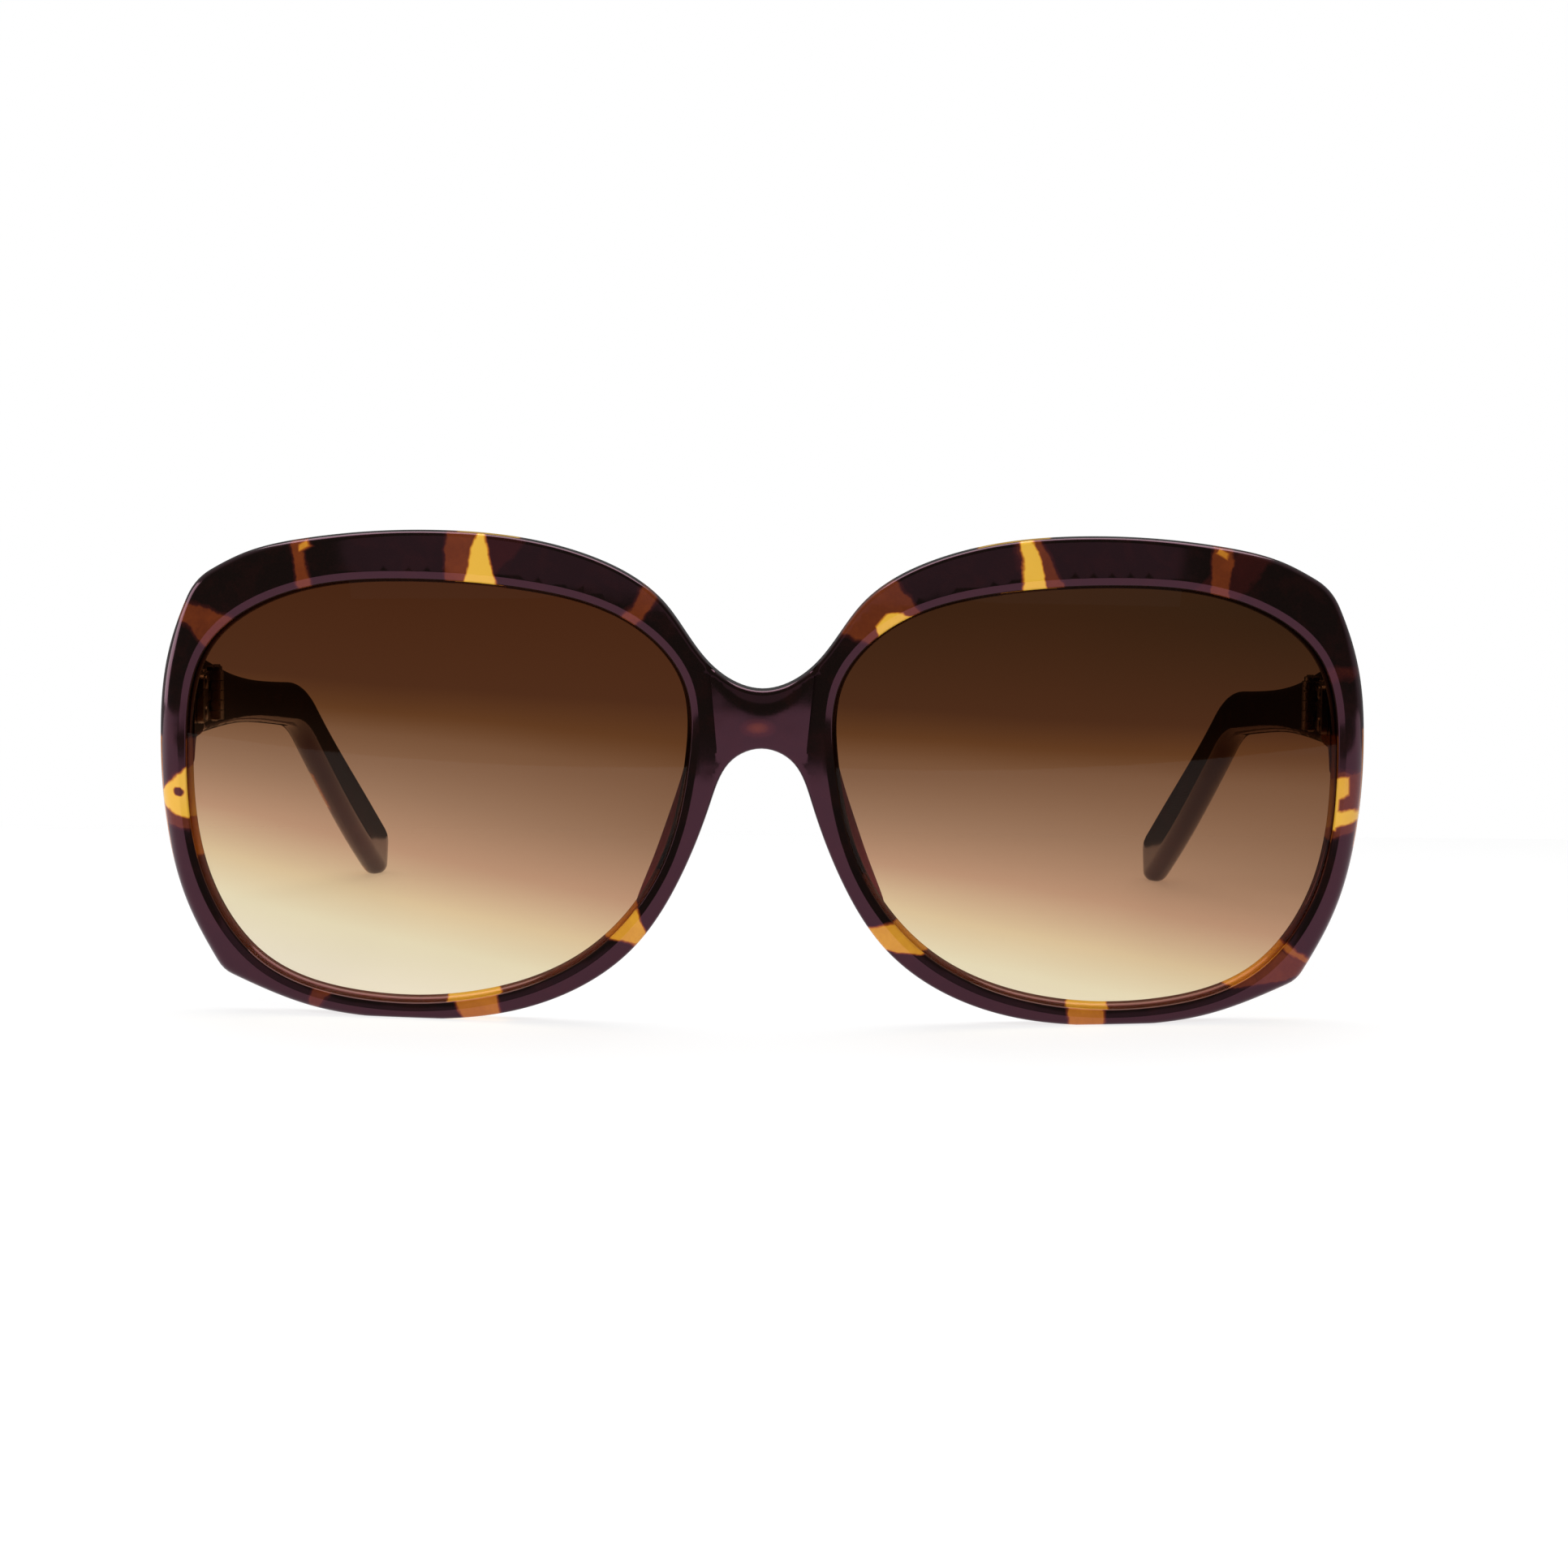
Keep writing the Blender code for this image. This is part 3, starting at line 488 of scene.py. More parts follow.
# ======== materials
class Nodes:
    """Short names for building the node tree of a new material or world."""

    def __init__(self, owner, shader="Principled BSDF"):
        owner.use_nodes = True
        self.owner, self.tree = owner, owner.node_tree
        self.shader = self.tree.nodes[shader]

    def add(self, kind, **settings):
        return configured(self.tree.nodes.new(kind), **settings)

    def link(self, source, target):
        if isinstance(source, bpy.types.NodeSocket):
            self.tree.links.new(source, target)
        else:
            target.default_value = source

    def set(self, name, value):
        """Gives one of the shader's inputs a value, or another node's output."""
        self.link(value, self.shader.inputs[name])

    def math(self, operation, *values, clamp=False):
        node = self.add("ShaderNodeMath", operation=operation, use_clamp=clamp)
        for value, socket in zip(values, node.inputs):
            self.link(value, socket)
        return node.outputs[0]

    def plus(self, first, second):
        return self.math("ADD", first, second)

    def minus(self, first, second):
        return self.math("SUBTRACT", first, second)

    def times(self, first, second):
        return self.math("MULTIPLY", first, second)

    def line(self, value, slope, start, clamp=False):
        """The value times the slope, plus the start."""
        return self.math("MULTIPLY_ADD", value, slope, start, clamp=clamp)

    def squared(self, value):
        return self.math("POWER", value, 2)

    def place(self, stretch=(1, 1, 1)):
        """The piece's own coordinates in millimetres, each divided by its stretch."""
        coordinates = self.add("ShaderNodeTexCoord")
        scaled = self.add("ShaderNodeVectorMath", operation="MULTIPLY")
        self.link(coordinates.outputs["Object"], scaled.inputs[0])
        scaled.inputs[1].default_value = [1000 / s for s in stretch]
        return scaled.outputs[0]

    def split(self, place):
        """A place's x, y and z."""
        node = self.add("ShaderNodeSeparateXYZ")
        self.link(place, node.inputs[0])
        return node.outputs

    def noise(self, place, scale, detail=2.0, distortion=0.0):
        node = self.add("ShaderNodeTexNoise")
        settings = {"Vector": place, "Scale": scale, "Detail": detail, "Distortion": distortion}
        for name, setting in settings.items():
            self.link(setting, node.inputs[name])
        return node.outputs["Fac"]

    def between(self, value, low, high):
        """The value's share of the way from low to high, kept between 0 and 1."""
        return self.line(value, 1 / (high - low), -low / (high - low), clamp=True)

    def ramp(self, value, stops, interpolation="LINEAR"):
        """The stops' colours by value. A new ramp has two ends, and what lies between them is added."""
        node = self.add("ShaderNodeValToRGB")
        self.link(value, node.inputs[0])
        node.color_ramp.interpolation = interpolation
        elements = node.color_ramp.elements
        for index, (at, colour) in enumerate((stops[0], stops[-1], *stops[1:-1])):
            element = elements[index] if index < 2 else elements.new(at)
            element.position = at
            element.color = (*colour, 1)
        return node.outputs[0]

    def bump(self, height, distance):
        node = self.add("ShaderNodeBump")
        self.link(height, node.inputs["Height"])
        node.inputs["Distance"].default_value = distance * MM
        return node.outputs["Normal"]


# How amber the tortoiseshell is: near-black brown, red-brown, orange, amber, yellow.
TORTOISE_STOPS = (
    (0.0, (0.0066, 0.0044, 0.0033)),
    (0.2, (0.035, 0.0075, 0.006)),
    (0.42, (0.21, 0.045, 0.011)),
    (0.62, (0.5, 0.165, 0.018)),
    (0.82, (0.78, 0.37, 0.035)),
    (1.0, (0.92, 0.53, 0.06)),
)
PLASTIC_IOR, GLOSS_TINT = 1.62, (0.93, 0.35, 0.55, 1)  # its reflections look slightly purple
PATCH_CENTRE = (38.6, 28.1)  # patches are placed by angle and distance round this point of each rim
PATCH_SOFT = 1.1  # degrees over which a patch's edge fades
WALL_START, WALL_FULL = 0.45, 0.75  # the depths between which the openings' walls begin
# Amber patches: the angles of both edges at an inner distance, the same at an outer one, and how amber.
# Angles are 0 at the temple side and 90 at the top. A sixth and a seventh number are the least and the
# greatest distance.
PATCHES_LEFT = (
    ((23.5, 26.5), 32.8, (22.3, 24.3), 36.4, 0.2),
    ((52, 61), 29.3, (51, 58), 33.7, 0.15),
    ((54, 59.5), 29.3, (57.3, 62.5), 32.6, 0.34),
    ((58.3, 62), 32.4, (58.8, 61.3), 33.5, 0.66, 32.5, 33.5),
    ((100.8, 107.6), 25.4, (101.9, 105.3), 31, 1.0),
    ((96.5, 101), 25.4, (100, 103), 30.6, 0.32),
    ((103, 107), 28.4, (103, 107), 31, 0.22),
    ((132, 146), 30.5, (131.5, 147), 35.2, 0.32),
    ((134, 145.5), 29.6, (138, 141.5), 32.2, 0.96, 0, 32.2),
    ((-145.8, -136), 27.7, (-149, -142.3), 30.6, 0.76),
    ((-94, -83.5), 25.6, (-93, -84), 28.4, 0.6),
    ((-50, -38), 31.2, (-43, -37), 34.2, 0.3),
    ((-38.3, -36), 29.3, (-37.5, -35.8), 35, 0.5),
    ((-9.5, 2), 30.1, (-9, 1), 31.1, 1.0, 0, 31.4),
    ((-8.5, -4), 30.8, (-6.5, -4), 33.6, 1.0),
    ((-3, 3), 30.7, (0, 3.5), 33.3, 0.9, 0, 32.6),
    ((-12, 5), 30.1, (-9, 4), 34, 0.3),
)
PATCHES_RIGHT = (
    ((29.5, 37.5), 32.3, (31, 35.5), 37.2, 0.3),
    ((54, 57.5), 29.3, (57.8, 61.2), 33.7, 0.36),
    ((58.8, 61.8), 32.4, (59.2, 61.5), 33.5, 0.7, 32.5, 33.5),
    ((96.9, 106), 24.9, (97.6, 100.4), 30.5, 1.0),
    ((91.3, 98), 24.9, (91.6, 98), 31, 0.34),
    ((100, 106), 27.4, (100, 108.5), 30.5, 0.13),
    ((136.3, 140), 30, (134.8, 139), 34.5, 0.34),
    ((-150.5, -138.8), 27.3, (-146, -141.5), 29.9, 0.78),
    ((-106.5, -94), 25.4, (-105, -96), 28.2, 0.58),
    ((-63, -57.5), 28.5, (-61.5, -59), 31.3, 0.28),
    ((-10, 4), 30.1, (-6, -2), 34, 1.0),
    ((-13, 4), 30.1, (-9, -1), 34, 0.3),
)
PATCH_DOT = ((-2.6, 32), (0.9, 0.6), 0.75)  # a spot in the right rim's side patch: place, size, how dark
# The same for the walls of the openings, which show patches of their own. These are the plastic's amber and
# partly painted light: where light shines through the amber from behind, a wall patch is drawn brighter than
# the face beside it.
WALLS_LEFT = (
    ((-160, -12), 24, (-160, -12), 34, 0.28),
    ((-94, -82.5), 24.5, (-94, -82.5), 27, 1.0),
    ((-54, -36.5), 29, (-50, -36.5), 32, 0.86),
    ((-12, 12), 29, (-12, 12), 33, 0.62),
    ((98, 114), 24.5, (98, 114), 27, 1.0),
)
WALLS_RIGHT = (
    ((-160, -12), 24, (-160, -12), 34, 0.28),
    ((-107, -92), 24.5, (-107, -92), 27, 1.0),
    ((-115, -85), 24.5, (-115, -85), 27, 0.3),
    ((-18, 9), 29, (-18, 9), 33, 0.6),
    ((94, 108), 24.5, (94, 108), 27, 1.0),
)
BRIDGE_GLOW = ((-0.5, 35.8), (2.4, 1.3), 0.3)  # a faint spot on the bridge: place, size, how amber
WANDER = ((0.28, 2.6), (1.1, 1.1))  # noises that make the patches' edges uneven: scale, reach in degrees
TEMPLE_AMBER = (0.62, 0.69)  # the passage of the temples' noise from dark to amber
MOTTLE, SPECK = (0.45, 0.85), 0.05  # what of the cloud shows as mottling, and how much fine specks vary it


def patches(nodes, angle, distance, rows):
    """How amber the rim is, from the angle and distance round one lens."""
    total = 0.0
    for inner, inner_distance, outer, outer_distance, tone, *limits in rows:
        edges = []
        for start, end in zip(inner, outer):
            slope = (end - start) / (outer_distance - inner_distance)
            edges.append(nodes.line(distance, slope, start - slope * inner_distance))
        depth = nodes.math("MINIMUM", nodes.minus(angle, edges[0]), nodes.minus(edges[1], angle))
        for limit, way in zip(limits, (2, -2)):
            depth = nodes.math("MINIMUM", depth, nodes.line(distance, way, -way * limit))
        shown = nodes.line(depth, 1 / PATCH_SOFT, 0.5, clamp=True)
        total = nodes.math("MAXIMUM", total, nodes.times(shown, tone))
    return total


def depth_behind_face(nodes, y, out, z):
    """face_depth taken from a point's own depth, where out is its distance from the lens's middle."""
    start = BRIDGE_HALF_WIDTH - LENS_CENTRE[0]
    offset = PATCH_CENTRE[0] - LENS_CENTRE[0]
    across = nodes.plus(out, offset)
    side = nodes.line(across, WRAP_SLOPE, -WRAP_SLOPE * start - start**2 / (2 * LENS_RADIUS))
    side = nodes.line(nodes.squared(across), 1 / (2 * LENS_RADIUS), side)
    rise = nodes.squared(nodes.minus(z, LENS_CENTRE[1]))
    face = nodes.line(rise, 1 / (2 * LENS_RADIUS_UPRIGHT), side)
    return nodes.minus(nodes.minus(y, FRONT_Y), face)


def front_pattern(nodes):
    """Amber patches where this front has them. On the openings' walls they are drawn brighter, as painted
    light shining through the amber from behind.
    """
    place = nodes.place()
    x, y, z = nodes.split(place)
    out = nodes.minus(nodes.math("ABSOLUTE", x), PATCH_CENTRE[0])
    up = nodes.minus(z, PATCH_CENTRE[1])
    angle = nodes.math("DEGREES", nodes.math("ARCTAN2", up, out))
    distance = nodes.math("SQRT", nodes.plus(nodes.squared(out), nodes.squared(up)))
    for scale, reach in WANDER:
        wander = nodes.noise(place, scale, 1)
        angle = nodes.plus(angle, nodes.line(wander, reach, -reach / 2))
    (dot_angle, dot_distance), (dot_wide, dot_tall), dark = PATCH_DOT
    dot = nodes.add("ShaderNodeCombineXYZ")
    nodes.link(nodes.line(angle, 1 / dot_wide, -dot_angle / dot_wide), dot.inputs[0])
    nodes.link(nodes.line(distance, 1 / dot_tall, -dot_distance / dot_tall), dot.inputs[1])
    span = nodes.add("ShaderNodeVectorMath", operation="LENGTH")
    nodes.link(dot.outputs[0], span.inputs[0])
    dot = nodes.times(nodes.between(span.outputs["Value"], 1.3, 0.8), dark)
    # The walls' patches are partly painted light: drawn brighter where light shines through the amber from
    # behind.
    wall = nodes.between(depth_behind_face(nodes, y, out, z), WALL_START, WALL_FULL)
    totals = []
    for rows, wall_rows in ((PATCHES_RIGHT, WALLS_RIGHT), (PATCHES_LEFT, WALLS_LEFT)):
        on_wall = nodes.times(patches(nodes, angle, distance, wall_rows), wall)
        totals.append(nodes.math("MAXIMUM", patches(nodes, angle, distance, rows), on_wall))
    totals[0] = nodes.times(totals[0], nodes.minus(1, dot))
    is_left = nodes.math("GREATER_THAN", x, 0)
    chosen = nodes.add("ShaderNodeMix", data_type="FLOAT")
    for value, socket in zip((is_left, *totals), chosen.inputs[:1] + chosen.inputs[2:4]):
        nodes.link(value, socket)
    (glow_x, glow_z), (wide, tall), tone = BRIDGE_GLOW
    across = nodes.squared(nodes.line(x, 1 / wide, -glow_x / wide))
    high = nodes.squared(nodes.line(z, 1 / tall, -glow_z / tall))
    glow = nodes.math("SUBTRACT", 1, nodes.plus(across, high), clamp=True)
    return nodes.math("MAXIMUM", chosen.outputs[0], nodes.times(glow, tone))


def temple_pattern(nodes):
    """Scattered amber patches on the temples' outer sides, longer along the temple than across it."""
    x, y, _ = nodes.split(nodes.place())
    along = nodes.between(y, FRONT_Y + INWARD_START_Y, FRONT_Y + TIP_Y)
    bend = nodes.times(nodes.math("POWER", along, INWARD_POWER), INWARD_AT_TIP)
    out = nodes.plus(nodes.math("ABSOLUTE", x), bend)
    outer = nodes.between(out, TEMPLE_MIDDLE_X + 0.1, TEMPLE_MIDDLE_X + 1.3)
    place = nodes.place(stretch=(1.0, 1.7, 1.2))
    blot = nodes.noise(place, 0.11, 1.2, 0.5)
    broken = nodes.noise(place, 0.5, 2)
    field = nodes.line(broken, 0.16, blot)
    return nodes.times(nodes.between(field, *TEMPLE_AMBER), outer)


def tortoise(name, pattern, mottled):
    """Polished tortoiseshell plastic. mottled is how much faint red its dark parts have."""
    nodes = Nodes(bpy.data.materials.new(name))
    place = nodes.place()
    amber = pattern(nodes)
    cloud = nodes.noise(place, 0.35, 4, 0.6)
    speck = nodes.noise(place, 3.2, 2)
    mottle = nodes.line(speck, SPECK, nodes.times(nodes.between(cloud, *MOTTLE), mottled))
    varied = nodes.plus(amber, nodes.minus(mottle, SPECK / 2))
    nodes.set("Base Color", nodes.ramp(varied, TORTOISE_STOPS))
    nodes.set("Roughness", nodes.line(speck, 0.05, 0.07))
    nodes.set("Normal", nodes.bump(nodes.noise(place, 0.16, 1), 0.08))
    nodes.set("IOR", PLASTIC_IOR)
    nodes.set("Specular Tint", GLOSS_TINT)
    return nodes.owner


def pad_plastic():
    """The pads' wine red, faintly clouded."""
    nodes = Nodes(bpy.data.materials.new("pad_plastic"))
    cloud = nodes.noise(nodes.place(), 0.5, 3, 0.4)
    stops = ((0.3, (0.23, 0.045, 0.09)), (0.75, (0.33, 0.065, 0.13)))
    nodes.set("Base Color", nodes.ramp(cloud, stops))
    nodes.set("Roughness", nodes.line(cloud, 0.1, 0.25))
    nodes.set("IOR", PLASTIC_IOR)
    nodes.set("Specular Tint", GLOSS_TINT)
    return nodes.owner


# What the whole lens lets through, by height in millimetres.
LENS_TINT = (
    (2, (231, 220, 195)),
    (8, (227, 214, 180)),
    (13, (216, 190, 150)),
    (19, (184, 143, 113)),
    (26, (151, 114, 87)),
    (33.5, (120, 83, 57)),
    (36.5, (98, 60, 33)),
    (40, (79, 45, 26)),
    (52, (71, 38, 20)),
)
# Painted shade in the lenses: the gradient's tilt across x and its lower place in the left lens stand in for
# light that falls off towards +x.
SHADE_TILT_CENTRE, SHADE_TILT_LEFT_LIFT = 36.4, 3.0  # painted shade: the gradient tilts darker towards +x about this x in each lens, and lies lower in the left lens
SHADE_TILT_LEFT_LEVEL = 8  # painted shade: how much lower in the left lens that tilt starts to grow
SHADE_TILT_Z = (38, 24)  # the heights between which the painted tilt grows
SHADE_TILT_LEAST, SHADE_TILT_MORE = 0.06, 0.15
TINT_WAVER = 0.8
SHADE = (0.55, 0.77, 0.86)  # painted shade: how much darker the left lens is drawn towards its upper temple corner
SHADE_X, SHADE_Z, SHADE_LEAST = (35, 63), (34, 50), 0.6


def linear(channel):
    """A 0 to 255 screen value as light."""
    share = channel / 255
    return share / 12.92 if share <= 0.04045 else ((share + 0.055) / 1.055) ** 2.4


def gradient_lens():
    """Clear plastic tinted brown, dark above and pale below. Painted shade is laid over the tint: the
    gradient tilts darker towards +x and lies lower in the left lens, and the left lens is darker still
    towards its upper temple corner. Each face passes the root of the tint.
    """
    nodes = Nodes(bpy.data.materials.new("gradient_lens"))
    place = nodes.place()
    x, _, z = nodes.split(place)
    is_left = nodes.math("GREATER_THAN", x, 0)
    # Painted shade: the height that picks the tint tilts with x and is lifted in the left lens.
    across = nodes.plus(x, nodes.line(is_left, -2 * SHADE_TILT_CENTRE, SHADE_TILT_CENTRE))
    sloping = nodes.between(nodes.line(is_left, SHADE_TILT_LEFT_LEVEL, z), *SHADE_TILT_Z)
    slope = nodes.line(sloping, SHADE_TILT_MORE, SHADE_TILT_LEAST)
    height = nodes.line(is_left, SHADE_TILT_LEFT_LIFT, nodes.line(across, slope, z))
    uneven = nodes.noise(place, 0.05, 1)
    height = nodes.plus(height, nodes.line(uneven, TINT_WAVER, -TINT_WAVER / 2))
    low, high = LENS_TINT[0][0], LENS_TINT[-1][0]
    stops = [((at - low) / (high - low), [linear(c) ** 0.5 for c in tint]) for at, tint in LENS_TINT]
    tint = nodes.ramp(nodes.between(height, low, high), stops)
    # Painted shade: the left lens darkened towards its upper temple corner.
    shaded = nodes.line(nodes.between(x, *SHADE_X), 1 - SHADE_LEAST, SHADE_LEAST)
    shaded = nodes.times(shaded, nodes.times(nodes.between(z, *SHADE_Z), is_left))
    darker = nodes.add("ShaderNodeMix", data_type="RGBA", blend_type="MULTIPLY")
    nodes.link(shaded, darker.inputs[0])
    nodes.link(tint, darker.inputs[6])
    darker.inputs[7].default_value = [*(c**0.5 for c in SHADE), 1]
    clear = nodes.add("ShaderNodeBsdfTransparent")
    nodes.link(darker.outputs[2], clear.inputs["Color"])
    gloss = nodes.add("ShaderNodeBsdfGlossy")
    gloss.inputs["Roughness"].default_value = 0.015
    aside = nodes.math("POWER", nodes.add("ShaderNodeLayerWeight").outputs["Facing"], 5)
    mixed = nodes.add("ShaderNodeMixShader")
    sources = (nodes.line(aside, 0.6, 0.01), clear.outputs[0], gloss.outputs[0])
    for source, socket in zip(sources, mixed.inputs):
        nodes.link(source, socket)
    nodes.link(mixed.outputs[0], nodes.tree.nodes["Material Output"].inputs["Surface"])
    nodes.tree.nodes.remove(nodes.shader)
    return nodes.owner


def nickel(name, brush_along):
    """Nickel silver with fine brush lines along x, y or z."""
    nodes = Nodes(bpy.data.materials.new(name))
    stretch = [4 if axis == brush_along else 0.12 for axis in "xyz"]
    lines = nodes.noise(nodes.place(stretch), 1, 2)
    stain = nodes.noise(nodes.place(), 0.6, 3)
    stops = ((0.3, (0.3, 0.28, 0.25)), (0.7, (0.44, 0.42, 0.39)))
    nodes.set("Base Color", nodes.ramp(stain, stops))
    nodes.set("Roughness", nodes.line(lines, 0.25, 0.18))
    nodes.set("Normal", nodes.bump(lines, 0.01))
    nodes.set("Metallic", 1)
    return nodes.owner


# ======== pieces
def opening_section():
    """An opening's section: bevel, fine edges, the lens's groove, and a wall that leans in behind it."""
    wide, deep, lip = BEVEL_WIDTH, BEVEL_DEPTH, RIM_DEPTH - 0.5
    fine = BEVEL_OUTER_RADIUS
    section = rounding((wide, 0), (wide + fine, 0), (wide - 0.8 * fine, 0.6 * fine), 3)
    fine = BEVEL_INNER_RADIUS
    section += rounding((0, deep), (0.8 * fine, deep - 0.6 * fine), (0, deep + fine), 5)
    section += [*GROOVE, (-0.68 * WALL_LEAN, 2.8)]
    section += rounding((-WALL_LEAN - 0.05, RIM_DEPTH), (-WALL_LEAN, lip), (0.1 - WALL_LEAN, RIM_DEPTH), 5)
    section.append((0.5 - WALL_LEAN, RIM_DEPTH))  # evens out the shading of the back's edge
    return section


def make_front(mat):
    """The one-piece front: rims, bevelled and grooved openings, a leaning bridge, and endpieces."""
    loop = outline()
    aside, height = np.abs(loop[:, 0]), loop[:, 1]
    edge = EDGE_RADIUS + (SIDE_EDGE_RADIUS - EDGE_RADIUS) * smooth_share(aside, *SIDE_EDGE_X)
    extra = smooth_share(aside, *EXTRA_X) * smooth_share(height, *EXTRA_LOW_Z)
    edge += SIDE_EDGE_EXTRA * (extra * smooth_share(height, *EXTRA_HIGH_Z))
    turns = np.linspace(0, 1, 8)
    outer_section = [(-edge * (1 - t) ** 2, edge * t**2) for t in turns]
    outer_section += [(-edge * t**2, RIM_DEPTH - edge * (1 - t) ** 2) for t in turns]
    bm = bmesh.new()
    outer = section_rings(bm, loop, outer_section)
    holes = [section_rings(bm, opening(sign), opening_section()) for sign in (1, -1)]
    for side, depth in ((0, 0), (-1, RIM_DEPTH)):
        fill_between(
            bm,
            outer[side],
            [rings[side] for rings in holes],
            lambda v: (v.co.x, v.co.z),
            lambda p, depth=depth: on_face(p, depth),
            face_points() if depth == 0 else grid_points(*BACK_GRID, FACE_SPACING),
        )
    front = finished("front_shell", bm, mat, sharp=50)
    for _, sign in SIDES:
        boolean(front, make_endpiece(sign, mat), "UNION")
    shade(front.data, 50)
    weighted_normals(front)
    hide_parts("front_frame")
    return front


def make_endpiece(sign, mat):
    """The stub that sweeps back from the rim to the hinge, wider where it leaves the rim."""
    root_y, end_y = ENDPIECE_ROOT_Y, HINGE_Y - BUTT_GAP
    stations = []
    for share in np.linspace(0, 1, 22):
        y = root_y + (end_y - root_y) * share
        flare = ENDPIECE_FLARE * max(0, 1 - (y - root_y) / ENDPIECE_FLARE_LENGTH) ** 2.2
        section = rounded_rectangle(TEMPLE_THICKNESS / 2, ENDPIECE_HALF_HEIGHT + flare, 1.3)
        spare = 0.3 * (y - root_y) - 0.45  # keeps its root inside the rim's outer side
        reach = [np.interp(HINGE_Z + v, *SIDE_REACH) + spare for u, v in section]
        stations.append([(min(TEMPLE_MIDDLE_X + u, r), y, HINGE_Z + v) for (u, v), r in zip(section, reach)])
    bm = bmesh.new()
    swept(bm, stations)
    return finished("endpiece", bm, mat, sign=sign)


def make_lens(side, sign, mat):
    """A thin curved lens whose bevelled edge sits in the groove."""
    loop = opening(sign)
    middle = np.array((sign * LENS_CENTRE[0], LENS_CENTRE[1]))
    section = [(out, LENS_FRONT + LENS_THICKNESS * share) for out, share in LENS_EDGE]
    bm = bmesh.new()
    edge = section_rings(bm, loop, section)
    for ring, (out, depth) in ((edge[0], section[0]), (edge[-1], section[-1])):
        rim = outward(loop, out)
        for share in np.linspace(1, 0, LENS_RINGS)[1:-1]:
            inner = [bm.verts.new(on_face(middle + (p - middle) * share, depth)) for p in rim]
            band(bm, ring, inner)
            ring = inner
        fan(bm, ring, bm.verts.new(on_face(middle, depth)))
    lens = finished(f"tinted_lens_{side}", bm, mat, sharp=30)
    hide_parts(f"lens_{side}")
    return lens


def make_nose_pad(side, sign, mat):
    """A soft-edged pad behind the nasal side of the rim, flared towards the lens to suit the nose."""
    line = evenly(smooth_line(PAD_LINE), PAD_STATIONS)
    along = np.gradient(line, axis=0)
    along /= np.linalg.norm(along, axis=1)[:, None]
    profile = evenly(smooth_line(PAD_SECTION), 36)
    stations = []
    for i, (point, direction) in enumerate(zip(line, along)):
        towards_lens = np.array((-direction[1], direction[0]))
        swell = math.sin(math.pi * i / PAD_STATIONS) ** 0.7
        height = PAD_HEIGHT * (PAD_END_SHARE + (1 - PAD_END_SHARE) * swell)
        width = PAD_END_WIDTH + (1 - PAD_END_WIDTH) * swell
        ring = []
        for across, share in profile:
            x, z = point + towards_lens * across * width
            ring.append((x, face_depth(x, z) + RIM_DEPTH - PAD_OVERLAP + share * height, z))
        stations.append(ring)
    bm = bmesh.new()
    swept(bm, stations)
    pad = finished(f"soft_pad_{side}", bm, mat, sharp=70, sign=sign)
    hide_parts(f"nose_pad_{side}")
    return pad


def temple_centre(y):
    """The middle of the left temple's section at depth y, and its slope there."""
    x = TEMPLE_MIDDLE_X
    if y > INWARD_START_Y:
        x -= INWARD_AT_TIP * ((y - INWARD_START_Y) / (TIP_Y - INWARD_START_Y)) ** INWARD_POWER
    hook_end_y = HOOK_START_Y + HOOK_RADIUS * (math.sin(HOOK_SLOPE) - math.sin(TEMPLE_SLOPE))
    z = HINGE_Z - math.tan(TEMPLE_SLOPE) * (min(y, HOOK_START_Y) - HINGE_Y)
    slope = TEMPLE_SLOPE
    if y > HOOK_START_Y:
        turned_sine = math.sin(TEMPLE_SLOPE) + (y - HOOK_START_Y) / HOOK_RADIUS
        slope = math.asin(min(turned_sine, math.sin(HOOK_SLOPE)))
        z -= HOOK_RADIUS * (math.cos(TEMPLE_SLOPE) - math.cos(slope))
    if y > hook_end_y:
        z -= math.tan(HOOK_SLOPE) * (y - hook_end_y)
    return Vector((x, y, z)), slope


def temple_section(y, section):
    """A section's points set across the temple at depth y. It stands upright where it meets the front."""
    centre, slope = temple_centre(y)
    lean = slope * min(1, (y - HINGE_Y) / 12)
    up = Vector((0, math.sin(lean), math.cos(lean)))
    return [centre + Vector((u, 0, 0)) + up * v for u, v in section]


def make_temple(side, sign, mat):
    """The temple: straight, then hooked behind the ear, with a rounded tip and the core wire's bore."""
    heights = smooth_line(TEMPLE_HEIGHTS)
    half_width = TEMPLE_THICKNESS / 2

    def half_height(y):
        return float(np.interp(y, heights[:, 0], heights[:, 1]))

    stations = []
    start_y = HINGE_Y + BUTT_GAP
    for share in np.linspace(0, 1, TEMPLE_STATIONS + 1):
        y = start_y + (TIP_Y - start_y) * share
        ease = min(1, (y - start_y) / BUTT_ROUNDING)
        inset = BUTT_INSET * (1 - math.sqrt(1 - (1 - ease) ** 2))
        hooked = smooth_share(y, HOOK_START_Y - 10, HOOK_START_Y + 25)
        corner = TEMPLE_CORNER + HOOK_CORNER_EXTRA * hooked
        section = rounded_rectangle(half_width - inset, half_height(y) - inset, corner)
        stations.append(temple_section(y, section))
    for turn in np.linspace(0, math.pi / 2, 9)[1:]:
        shrink = max(math.cos(turn), 0.04)
        section = rounded_rectangle(half_width * shrink**0.6, half_height(TIP_Y) * shrink, TIP_CORNER)
        stations.append(temple_section(TIP_Y + TIP_LENGTH * math.sin(turn), section))
    bm = bmesh.new()
    outer = swept(bm, stations, cap_start=False)
    bore = rounded_rectangle(*CORE_BORE)
    bore_ys = np.linspace(start_y, CORE_END_Y + 1, 60)
    inner = swept(bm, [temple_section(y, bore) for y in bore_ys], cap_start=False)
    band(bm, outer[0], inner[0])
    for v in bm.verts:
        v.co.z = max(v.co.z, 0)
    temple = finished(f"temple_arm_{side}", bm, mat, sharp=60, sign=sign)
    weighted_normals(temple)
    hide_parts(f"temple_{side}")
    return temple


